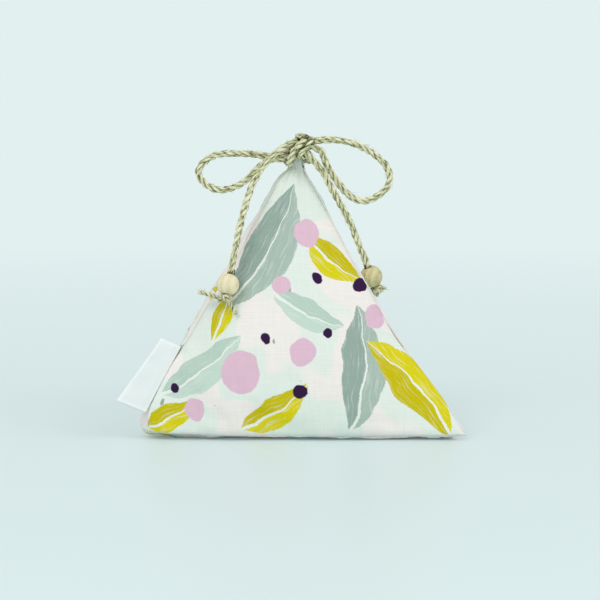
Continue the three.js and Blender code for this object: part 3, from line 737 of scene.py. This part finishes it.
def sewn(panel, points):
    """A panel's points with its seams rolled in and puckered, and its corners and base as they lie."""
    corners = PANELS[panel][0]
    normals = point_normals(points, fine_faces)
    moves = np.zeros_like(points)
    for i, j, opposite in ((0, 1, 2), (1, 2, 0), (2, 0, 1)):
        ends = {corners[i], corners[j]}
        pair = [name for name in PANELS if ends <= set(PANELS[name][0])]
        inward = -sum(flat_normal(name) for name in pair)
        inward /= np.linalg.norm(inward)
        length = np.linalg.norm(CORNERS[corners[i]] - CORNERS[corners[j]])
        away = fine_shares[:, opposite] * PANEL_RISE * BASE_EDGE
        share = fine_shares[:, j] + fine_shares[:, opposite] / 2
        along = length * (share if corners[i] < corners[j] else 1 - share)
        moves += ROLL * hill(away, ROLL_WIDTH)[:, None] * inward
        for place, size, width in SEAM_PULLS.get(min(ends), []) if TIP in ends else []:
            pull = size * hill(along / length - place, width) * hill(away, PULL_REACH)
            moves += pull[:, None] * to_axis(min(ends))
        rng = np.random.default_rng(10 * min(ends) + max(ends))
        beside = (1 - hill(away, PUCKER_START)) * np.exp(-away / PUCKER_REACH)
        puckers = PUCKER * np.cos(2 * math.pi * along / STITCH) * beside
        reach = (1 - hill(away, RUCK_START)) * np.exp(-away / RUCK_REACH)
        for _ in range(5):
            turn = 2 * math.pi * along / rng.uniform(*RUCK_LENGTHS) + rng.uniform(0, 6)
            puckers += RUCK * reach * np.sin(turn)
        moves += puckers[:, None] * normals
    lumps = np.array([noise.noise(point * 0.2) + 0.5 * noise.noise(point * 0.42) for point in points])
    inner = np.min(fine_shares, axis=1) * BASE_EDGE
    moves += (LUMP * lumps * np.clip(inner / LUMP_FADE, 0, 1))[:, None] * normals
    for corner, size in BLUNT_CORNERS.items():
        near = hill(np.linalg.norm(points - CORNERS[corner], axis=1), BLUNT_RADIUS)
        moves += size * near[:, None] * to_axis(corner)
    for corner, size in LOW_CORNERS.items():
        moves[:, 2] -= size * hill(np.linalg.norm(points - CORNERS[corner], axis=1), LOW_RADIUS)
    if panel in ("left_panel", "base_panel"):
        behind = np.maximum(0, (CORNERS[FRONT_LEFT] - points) @ flat_normal("front_panel"))
        near = hill(np.linalg.norm(points - FULL_CORNER, axis=1), FULL_CORNER_RADIUS)
        near = near * (1 - hill(behind, FULL_CORNER_START))
        moves += FULL_CORNER_SWELL * near[:, None] * flat_normal("left_panel") * [1, 1, 0]
    if panel == "base_panel":
        behind = points[:, 1] + MIDDLE
        for x, y, onset in FULL_BASE:
            near = hill(np.hypot(points[:, 0] - x, points[:, 1] - y), FULL_BASE_RADIUS)
            moves[:, 2] -= FULL_BASE_SWELL * near * (1 - hill(behind, onset))
        lifted = HOLLOW * hill(behind - HOLLOW_BEHIND, HOLLOW_WIDTH)
        moves[:, 2] += lifted / (1 + np.exp((points[:, 0] - HOLLOW_RIGHT_END) / HOLLOW_FADE))
    points = points + moves
    points[:, 2] = np.maximum(points[:, 2], 0)
    return points


def gathered(points):
    """Points of the cover with its neck drawn together in pleats by the turn of cord."""
    axis = TIP_LEAN * points[:, 2] / TIP_HEIGHT
    x, y, z = points[:, 0] - axis, points[:, 1], points[:, 2]
    turn, reach = np.arctan2(y, x), np.hypot(x, y)
    pleats = np.sin(PLEATS * turn + 1.5 * np.sin(3 * turn))
    depth = PLEAT_DEPTH * np.clip((z - PLEAT_FROM) / PLEAT_RISE, 0, 1) ** 2
    tied = hill(z - NECK_HEIGHT, TIED_HEIGHT)
    reach = reach + SLACK * hill(z - SLACK_HEIGHT, SLACK_SPREAD) * np.maximum(0, -np.cos(turn))
    reach = (reach + depth * pleats * (1 - tied)) * (1 - tied) + (TIED_RADIUS + TIED_PLEAT * pleats) * tied
    drawn = NECK_DRAWN * hill(z - NECK_HEIGHT - DRAWN_ABOVE, DRAWN_SPREAD)
    return np.column_stack([axis + reach * np.cos(turn) - drawn, reach * np.sin(turn), z])


def give_wall(piece, thickness, offset):
    """Makes a sheet as thick as its cloth, inwards at an offset of -1 and to both sides at 0."""
    wall = piece.modifiers.new("wall", "SOLIDIFY")
    wall.thickness, wall.offset = thickness * MM, offset
    bpy.ops.object.select_all(action="DESELECT")
    bpy.context.view_layer.objects.active = piece
    bpy.ops.object.modifier_apply(modifier=wall.name)


# The print: loose brushed leaves and dots in sage, mustard, pink and aubergine on a mint and
# off-white ground, on a plain weave whose threads show through the colour.
SAGE, DEEP_SAGE = seen(172, 190, 180), seen(152, 172, 163)
PALE_SAGE, MID_SAGE = seen(200, 219, 207), seen(186, 208, 195)
MUSTARD, DEEP_MUSTARD = seen(221, 209, 18), seen(203, 189, 10)
LEAVES = [  # middle, direction in degrees, half length, half width, light and dark tone
    ((22, 22), 35, 17, 6.0, PALE_SAGE, MID_SAGE), ((60, 40), -25, 14, 5.0, PALE_SAGE, MID_SAGE),
    ((42, 62), 60, 25, 9.5, SAGE, DEEP_SAGE), ((75, 22), 80, 21, 7.5, SAGE, DEEP_SAGE),
    ((92, 15), 128, 19, 7.5, MUSTARD, DEEP_MUSTARD),
    ((70, 58), -35, 12.5, 5.5, MUSTARD, DEEP_MUSTARD), ((46, 9), 32, 14, 4.6, MUSTARD, DEEP_MUSTARD),
    ((10, 6), 25, 11, 4.2, MUSTARD, DEEP_MUSTARD), ((28, 38), 75, 9, 3.4, MUSTARD, DEEP_MUSTARD),
    ((11, 76), 70, 19, 7.0, SAGE, DEEP_SAGE), ((101, 71), 112, 20, 7.5, PALE_SAGE, MID_SAGE),
    ((109, 95), 20, 12, 4.8, MUSTARD, DEEP_MUSTARD), ((25, 96), -20, 13, 4.6, PALE_SAGE, MID_SAGE),
    ((87, 91), 55, 12, 4.4, MUSTARD, DEEP_MUSTARD), ((5, 48), 115, 10, 3.8, MUSTARD, DEEP_MUSTARD),
]
PINK_DOTS = [  # middle and radius
    (36, 20, 6.5), (57, 26, 4.2), (60, 66, 5), (84, 38, 3.6), (50, 48, 3), (20, 8, 3.2), (19, 60, 4),
    (113, 52, 4.6), (93, 80, 3), (29, 83, 3.6), (74, 80, 4),
]
DARK_DOTS = [
    (80, 49, 2.6), (64, 50, 2), (55, 14, 2.3), (30, 52, 1.8), (66, 32, 1.8), (98, 28, 2), (44, 30, 1.6),
    (14, 15, 1.6), (104, 86, 1.9), (86, 68, 2), (5, 94, 1.8), (114, 76, 1.7), (22, 70, 1.7),
]
PINK, AUBERGINE = seen(226, 190, 208), seen(52, 24, 66)
MINT, OFF_WHITE, BARE_CLOTH = seen(229, 237, 229), seen(243, 236, 232), seen(236, 240, 232)
TILE = (118, 104, 0)  # mm before the print repeats
THREAD_PITCH = 0.66


def printed_cotton():
    material, tree, shader = finish_material("printed_cotton", Roughness=0.9, Specular_IOR_Level=0.15)
    cloth = put(tree, "ShaderNodeUVMap", uv_map="cloth").outputs[0]

    def vectors(operation, *values):
        return put(tree, "ShaderNodeVectorMath", dict(enumerate(values)), operation=operation).outputs[0]

    def grain(scale, detail, stretch=(1, 1, 1), output=0):
        look = {"Vector": vectors("MULTIPLY", cloth, stretch), "Scale": scale, "Detail": detail}
        return put(tree, "ShaderNodeTexNoise", look).outputs[output]

    def wobble(scale, detail, size):
        """A random move of the print, up to half a size in mm along and across."""
        centred = vectors("SUBTRACT", grain(scale, detail, output="Color"), (0.5, 0.5, 0.5))
        return vectors("MULTIPLY", centred, (size, size, 0))

    def blend(share, below, above):
        node = put(tree, "ShaderNodeMix", {0: share}, data_type="RGBA")
        for socket, value in ((node.inputs[6], below), (node.inputs[7], above)):
            if isinstance(value, bpy.types.NodeSocket):
                tree.links.new(value, socket)
            else:
                socket.default_value = (*value, 1)
        return node.outputs[2]

    def inked(depth, softness=0.16):
        """1 inside a shape and 0 outside it, from the depth in mm inside its edge."""
        inputs = {"Value": depth, "From Min": -softness, "From Max": softness}
        return put(tree, "ShaderNodeMapRange", inputs, interpolation_type="SMOOTHSTEP").outputs[0]

    brush, bristle = wobble(0.12, 1, 3.4), wobble(1.1, 2, 0.6)
    spot = vectors("WRAP", vectors("ADD", vectors("ADD", cloth, brush), bristle), TILE, (0, 0, 0))
    patches = inked(sums(tree, "SUBTRACT", grain(0.045, 1), 0.5), 0.02)
    colour = blend(patches, MINT, OFF_WHITE)
    longer = vectors("MULTIPLY", spot, (1.0, 0.55, 1))
    cells = put(tree, "ShaderNodeTexVoronoi", {"Vector": longer, "Scale": 0.21})
    draw = put(tree, "ShaderNodeSeparateColor", {0: cells.outputs["Color"]}).outputs[0]
    fleck = sums(tree, "MULTIPLY_ADD", draw, 0.5, -0.33)
    colour = blend(inked(sums(tree, "SUBTRACT", fleck, cells.outputs["Distance"]), 0.03), colour, DEEP_SAGE)

    def painted_leaf(below, middle, angle, half_length, half_width, light, dark):
        """A colour with one leaf over it: two tones beside a bare rib, and dry strokes of the brush."""
        turn = {"Vector": spot, "Location": (*middle, 0), "Rotation": (0, 0, math.radians(angle))}
        local = put(tree, "ShaderNodeMapping", turn, vector_type="TEXTURE").outputs[0]
        split = put(tree, "ShaderNodeSeparateXYZ", {0: local})
        run = sums(tree, "DIVIDE", split.outputs[0], half_length)
        taper = sums(tree, "SUBTRACT", 1.0, sums(tree, "MULTIPLY", run, run))
        across = sums(tree, "ADD", split.outputs[1], sums(tree, "MULTIPLY", taper, 0.14 * half_length))
        off_rib = sums(tree, "ABSOLUTE", across)
        leaf = inked(sums(tree, "SUBTRACT", sums(tree, "MULTIPLY", taper, half_width), off_rib))
        rib = inked(sums(tree, "SUBTRACT", sums(tree, "MULTIPLY_ADD", run, -0.22, 0.34), off_rib))
        look = {"Vector": vectors("MULTIPLY", local, (0.1, 1.5, 1)), "Scale": 1.0, "Detail": 3.0}
        strokes = put(tree, "ShaderNodeTexNoise", look).outputs[0]
        dry = sums(tree, "MULTIPLY", inked(sums(tree, "SUBTRACT", strokes, 0.58), 0.07), 0.3)
        tone = blend(dry, blend(inked(across), light, dark), BARE_CLOTH)
        return blend(leaf, below, blend(rib, tone, BARE_CLOTH))

    for leaf in LEAVES:
        colour = painted_leaf(colour, *leaf)
    for dots, tone in ((PINK_DOTS, PINK), (DARK_DOTS, AUBERGINE)):
        for x, y, radius in dots:
            away = put(tree, "ShaderNodeVectorMath", {0: spot, 1: (x, y, 0)}, operation="DISTANCE")
            colour = blend(inked(sums(tree, "SUBTRACT", radius, away.outputs["Value"])), colour, tone)

    def waves(axis):
        place = put(tree, "ShaderNodeSeparateXYZ", {0: cloth}).outputs[axis]
        return sums(tree, "SINE", sums(tree, "MULTIPLY", place, math.pi / THREAD_PITCH))

    warp, weft = (sums(tree, "ABSOLUTE", waves(axis)) for axis in (0, 1))
    over = inked(sums(tree, "MULTIPLY", waves(0), waves(1)), 0.25)
    weave = sums(tree, "ADD", weft, sums(tree, "MULTIPLY", over, sums(tree, "SUBTRACT", warp, weft)))
    slubs = sums(tree, "ADD", grain(1.6, 2, (1, 0.06, 1)), grain(1.6, 2, (0.06, 1, 1)))
    threads = sums(tree, "ADD", sums(tree, "MULTIPLY", weave, 0.5), sums(tree, "MULTIPLY", slubs, 0.9))
    # painted shade: the colour is lighter where the threads stand high and darker where they lie low
    spread_out = {"Value": threads, "From Min": 0.2, "From Max": 1.6, "To Min": 0.9, "To Max": 1.05}
    shade = put(tree, "ShaderNodeMapRange", spread_out).outputs[0]
    tinted = put(tree, "ShaderNodeVectorMath", {0: colour, "Scale": shade}, operation="SCALE").outputs[0]
    dress(tree, shader, tinted, threads, 0.5, 0.00012)
    return material


cotton = printed_cotton()
PRINT_SHIFT = {
    "front_panel": (0, 0), "right_panel": (20, 46), "left_panel": (38, 60), "base_panel": (58, 101),
}
for panel, (corners, _) in PANELS.items():
    stuffed = cover_points(panel, fine_shares) + spread(finer(swell[panel]), SWELL_SMOOTHING)
    points = gathered(sewn(panel, stuffed))
    height = np.linalg.norm(CORNERS[corners[2]] - (CORNERS[corners[0]] + CORNERS[corners[1]]) / 2)
    across = BASE_EDGE * (fine_shares[:, 1] + fine_shares[:, 2] / 2)
    flat = np.column_stack([across, height * fine_shares[:, 2]])
    print_coords = (flat + PRINT_SHIFT[panel])[np.array(fine_faces).ravel()]
    piece = mesh_piece(panel + "_cloth", points, fine_faces, cotton, "cloth", print_coords)
    give_wall(piece, CLOTH, -1)
    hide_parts(panel)
    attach(piece, "sachet")


# Filling: dried lavender buds, poured in through the last open seam and packed up to just under the
# neck. It lies a little inside the cover, lumpy all over, and no side shows it.
FILLING_INSET, FILLING_TOP = 2.4, 0.84  # mm inside the cover, share of the way up
BUD_LUMP, BUD_SINK = 0.45, 0.6
BUD_SHADES = [(0.0, seen(92, 84, 122)), (0.6, seen(126, 112, 158)), (0.9, seen(138, 134, 104))]
opposite_areas = []
for corner in range(4):
    a, b, c = np.delete(CORNERS, corner, axis=0)
    opposite_areas.append(np.linalg.norm(np.cross(b - a, c - a)) / 2)
INNER_MIDDLE = np.array(opposite_areas) @ CORNERS / sum(opposite_areas)
INNER_RADIUS = INNER_MIDDLE[2] - CORNER_LIFT


def bud_filling():
    around = np.linspace(0, 1, 48, endpoint=False)
    rings = []
    for inner in np.linspace(0.9, 0.1, 9):
        edges = []
        for i, j in ((1, 0), (0, 2), (2, 1)):
            shares = np.zeros((len(around), 3))
            shares[:, i], shares[:, j] = 1 - around, around
            edges.append(shares * (1 - inner) + inner / 3)
        rings.append(cover_points("base_panel", np.vstack(edges)))
    for up in np.linspace(0, FILLING_TOP, 60):
        shares = np.column_stack([(1 - up) * (1 - around), (1 - up) * around, np.full(len(around), up)])
        sides = ("front_panel", "right_panel", "left_panel")
        rings.append(np.vstack([cover_points(panel, shares) for panel in sides]))
    points = INNER_MIDDLE + (np.vstack(rings) - INNER_MIDDLE) * (1 - FILLING_INSET / INNER_RADIUS)
    buds = np.array([noise.noise(point * 0.45) for point in points])
    outward = unit(points - INNER_MIDDLE)
    points = points + (BUD_LUMP * (buds - BUD_SINK))[:, None] * outward
    size = 3 * len(around)
    faces = []
    for ring in range(len(rings) - 1):
        for k in range(size):
            a, b = ring * size + k, ring * size + (k + 1) % size
            faces.append((a, b, b + size, a + size))
    faces += [tuple(range(size))[::-1], tuple(range(len(points) - size, len(points)))]
    material, tree, shader = finish_material("dried_buds", Roughness=0.95)
    place = put(tree, "ShaderNodeTexCoord").outputs["Object"]
    cells = put(tree, "ShaderNodeTexVoronoi", {"Vector": place, "Scale": 420.0})
    tone = put(tree, "ShaderNodeSeparateColor", {0: cells.outputs["Color"]}).outputs[0]
    colour = ramp(tree, tone, BUD_SHADES)
    dress(tree, shader, colour, cells.outputs["Distance"], 0.8, 0.0008, invert=True)
    return mesh_piece("bud_filling", points, faces, material)


filling = bud_filling()
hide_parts("lavender_filling")
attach(filling, "sachet")


# Seam threads: white sewing cotton of three plies laid hard, one length to a seam. It runs in
# lockstitches through both panels' turned edges, inside the cover, and weaves a little with each stitch.
SEAMS = {
    "front_left": (FRONT_LEFT, TIP), "front_right": (FRONT_RIGHT, TIP), "back": (BACK, TIP),
    "base_front": (FRONT_LEFT, FRONT_RIGHT), "base_right": (FRONT_RIGHT, BACK),
    "base_left": (BACK, FRONT_LEFT),
}
THREAD_INSET, THREAD_SETBACK = 1.15, 5  # inside the cover, and from a corner
THREAD_TOP = 0.785  # share of the way up to the tip
THREAD_WEAVING = 0.12


def thread_finish():
    material, tree, shader = finish_material("white_thread", Roughness=0.75)
    lay = put(tree, "ShaderNodeUVMap", uv_map="lay").outputs[0]
    streaks = put(tree, "ShaderNodeTexNoise", {"Vector": lay, "Scale": 6.0, "Detail": 2.0}).outputs[0]
    colour = ramp(tree, streaks, [(0.3, seen(222, 216, 204)), (0.7, seen(240, 236, 228))])
    tree.links.new(colour, shader.inputs["Base Color"])
    return material


white_thread = thread_finish()
for number, (seam, (one, other)) in enumerate(SEAMS.items()):
    panel = next(name for name in PANELS if {one, other} <= set(PANELS[name][0]))
    corners = PANELS[panel][0]
    start = THREAD_SETBACK / np.linalg.norm(CORNERS[one] - CORNERS[other])
    share = np.linspace(start, THREAD_TOP if other == TIP else 1 - start, 200)
    shares = np.zeros((len(share), 3))
    shares[:, corners.index(one)], shares[:, corners.index(other)] = 1 - share, share
    line = cover_points(panel, shares)
    line = line + (INNER_MIDDLE - line) * THREAD_INSET / INNER_RADIUS
    run = share * np.linalg.norm(CORNERS[one] - CORNERS[other])
    line += THREAD_WEAVING * np.sin(2 * math.pi * run / STITCH)[:, None] * flat_normal(panel)
    thread_parts = MeshParts()
    lay_cord(thread_parts, smooth_line(line, 0.4), seed=201 + number, offset=0.11, radius=0.12, lay=1.4,
             sides=5, fuzz=0)
    thread = thread_parts.piece(seam + "_stitches", white_thread)
    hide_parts(seam + "_seam_thread")
    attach(thread, "sachet")


# Label: white woven cotton tape with a thicker selvedge, folded once, with both ends caught in the
# left front seam. It stands out stiffly, a little askew, and is bare.
LABEL_WIDTH, LABEL_REACH, LABEL_FROM_CORNER, LABEL_LEAN = 25, 8.7, 19.8, math.radians(8)
LABEL_TAPER = -0.125  # the tape is folded a little askew, so its upper side edge is the shorter one
LABEL_START, LABEL_SEWN, LABEL_BEND = 0.6, -0.4, 2.2  # from the seam: where it shows, is sewn, is stiff
LAYER_APART, TAPE = 0.5, 0.34
LABEL_ROWS = 50
RIB_PITCH, TWILL_PITCH = 0.42, 0.6
TAPE_SHADES = [(0.0, seen(236, 242, 242)), (0.6, seen(248, 251, 251)), (1.0, seen(251, 253, 253))]


def tape_finish():
    material, tree, shader = finish_material("cotton_tape", Roughness=0.85, Specular_IOR_Level=0.2)
    split = put(tree, "ShaderNodeSeparateXYZ", {0: put(tree, "ShaderNodeUVMap", uv_map="tape").outputs[0]})
    across, along = split.outputs[0], split.outputs[1]
    ribs = sums(tree, "SINE", sums(tree, "MULTIPLY", along, 2 * math.pi / RIB_PITCH))
    slanting = sums(tree, "ADD", across, along)
    twill = sums(tree, "SINE", sums(tree, "MULTIPLY", slanting, 2 * math.pi / TWILL_PITCH))
    from_edge = sums(tree, "SUBTRACT", LABEL_WIDTH / 2, sums(tree, "ABSOLUTE", across))
    edge = {"Value": from_edge, "From Min": 1.3, "From Max": 0.9}
    selvedge = put(tree, "ShaderNodeMapRange", edge).outputs[0]
    height = sums(tree, "ADD", sums(tree, "MULTIPLY", ribs, 0.5), sums(tree, "MULTIPLY", twill, 0.3))
    height = sums(tree, "ADD", height, sums(tree, "MULTIPLY", selvedge, 1.2))
    # painted shade: the tape's colour is lighter where its ribs, twill and selvedge stand high and darker
    # where they lie low
    tone = put(tree, "ShaderNodeMapRange", {"Value": height, "From Min": -0.8, "From Max": 1.4}).outputs[0]
    dress(tree, shader, ramp(tree, tone, TAPE_SHADES), height, 0.4, 0.00005)
    return material


def folded_label():
    """The label's piece, the length of its tape, and the two ends of the line on which it bends."""
    seam = CORNERS[TIP] - CORNERS[FRONT_LEFT]
    share = LABEL_FROM_CORNER / np.linalg.norm(seam)
    place = cover_points("front_panel", np.array([[1 - share, 0, share]]))[0]
    along = seam / np.linalg.norm(seam)
    outward = flat_normal("front_panel") + flat_normal("left_panel")
    outward /= np.linalg.norm(outward)
    side = np.cross(along, outward)
    leaning = math.cos(LABEL_LEAN) * outward - math.sin(LABEL_LEAN) * along
    bend = LABEL_START + LABEL_REACH - LAYER_APART - TAPE / 2
    reach = np.linspace(LABEL_SEWN, bend, 26)
    apart = LAYER_APART * np.clip((reach - LABEL_SEWN) / 2.5, 0.4, 1)
    turn = np.linspace(math.pi / 2, -math.pi / 2, 13)[1:-1]
    fold = np.column_stack([bend + LAYER_APART * np.cos(turn), LAYER_APART * np.sin(turn)])
    profile = np.vstack([np.column_stack([reach, apart]), fold, np.column_stack([reach, -apart])[::-1]])
    run = distances(profile)
    points, coords = [], []
    for width in np.linspace(-LABEL_WIDTH / 2, LABEL_WIDTH / 2, LABEL_ROWS + 1):
        for (out, off), length in zip(profile, run):
            loose = max(0, out / LABEL_REACH)
            sway = 0.3 * loose**2 * math.sin(0.16 * width + 0.5)
            sway += 0.1 * loose * math.sin(0.7 * width + 0.3 * out)
            stretch = out + loose * LABEL_TAPER * width
            points.append(place + stretch * leaning + (off + sway) * side + width * along)
            coords.append((width, length))
    size = len(profile)
    faces = []
    for i in range(LABEL_ROWS):
        for k in range(size - 1):
            a = i * size + k
            faces.append((a, a + 1, a + 1 + size, a + size))
    tape_coords = np.array(coords)[np.array(faces).ravel()]
    obj = mesh_piece("label_tape", points, faces, tape_finish(), "tape", tape_coords)
    give_wall(obj, TAPE, 0)
    return obj, run[-1], place + np.outer((LABEL_SEWN, LABEL_BEND), leaning)


label, tape_length, bend_line = folded_label()
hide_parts("label")
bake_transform(label)


# Floor and light: a wide pale table top, which fades to the colour of the room away from the
# sachet, under a broad soft lamp from the upper left, a weaker one from the right, and an even surround.
FLOOR_COLOUR, ROOM_COLOUR, SURROUND_COLOUR = seen(224, 239, 240), seen(226, 240, 240), seen(247, 250, 249)
SURROUND_STRENGTH = 0.62
FADE_CENTRE, FADE_FROM, FADE_TO = (0, -0.2, 0), 0.06, 0.8  # metres


def seen_rays(tree):
    """1 for the rays that show the background, to the camera and in gloss and glass."""
    rays = put(tree, "ShaderNodeLightPath").outputs
    shown = sums(tree, "MAXIMUM", rays["Is Camera Ray"], rays["Is Glossy Ray"])
    return sums(tree, "MAXIMUM", shown, rays["Is Transmission Ray"])


bpy.ops.object.select_all(action="DESELECT")
bpy.ops.mesh.primitive_circle_add(vertices=96, radius=40, fill_type="NGON")
floor = bpy.context.object
floor.name = floor.data.name = "floor"
table, tree, shader = finish_material("pale_table", Roughness=0.4, Specular_IOR_Level=0.2)
shader.inputs["Base Color"].default_value = (*FLOOR_COLOUR, 1)
place = put(tree, "ShaderNodeTexCoord").outputs["Object"]
away = put(tree, "ShaderNodeVectorMath", {0: place, 1: FADE_CENTRE}, operation="DISTANCE").outputs["Value"]
faded_by = {"Value": away, "From Min": FADE_FROM, "From Max": FADE_TO}
fade = put(tree, "ShaderNodeMapRange", faded_by).outputs[0]
room = put(tree, "ShaderNodeEmission", {"Color": (*ROOM_COLOUR, 1)})
share = sums(tree, "MULTIPLY", fade, seen_rays(tree))
faded = put(tree, "ShaderNodeMixShader", {0: share, 1: shader.outputs[0], 2: room.outputs[0]})
tree.links.new(faded.outputs[0], tree.nodes["Material Output"].inputs["Surface"])
floor.data.materials.append(table)

world = bpy.data.worlds.new("studio")
world.use_nodes = True
tree = world.node_tree
surround = tree.nodes["Background"]
surround.inputs["Color"].default_value = (*SURROUND_COLOUR, 1)
surround.inputs["Strength"].default_value = SURROUND_STRENGTH
room = put(tree, "ShaderNodeBackground", {"Color": (*ROOM_COLOUR, 1)})
both = put(tree, "ShaderNodeMixShader", {0: seen_rays(tree), 1: surround.outputs[0], 2: room.outputs[0]})
tree.links.new(both.outputs[0], tree.nodes["World Output"].inputs["Surface"])
scene.world = world


def soft_lamp(name, place, aim, size, power):
    lamp = bpy.data.lights.new(name, "AREA")
    lamp.size, lamp.energy = size, power
    obj = linked(name, lamp)
    obj.location = place
    obj.rotation_euler = (Vector(aim) - Vector(place)).to_track_quat("-Z", "Y").to_euler()


soft_lamp("key_lamp", (-0.6, -0.8, 0.9), (0, 0, 0.04), 0.8, 5.4)
soft_lamp("fill_lamp", (0.8, -0.5, 0.6), (0, 0, 0.05), 0.7, 3.0)
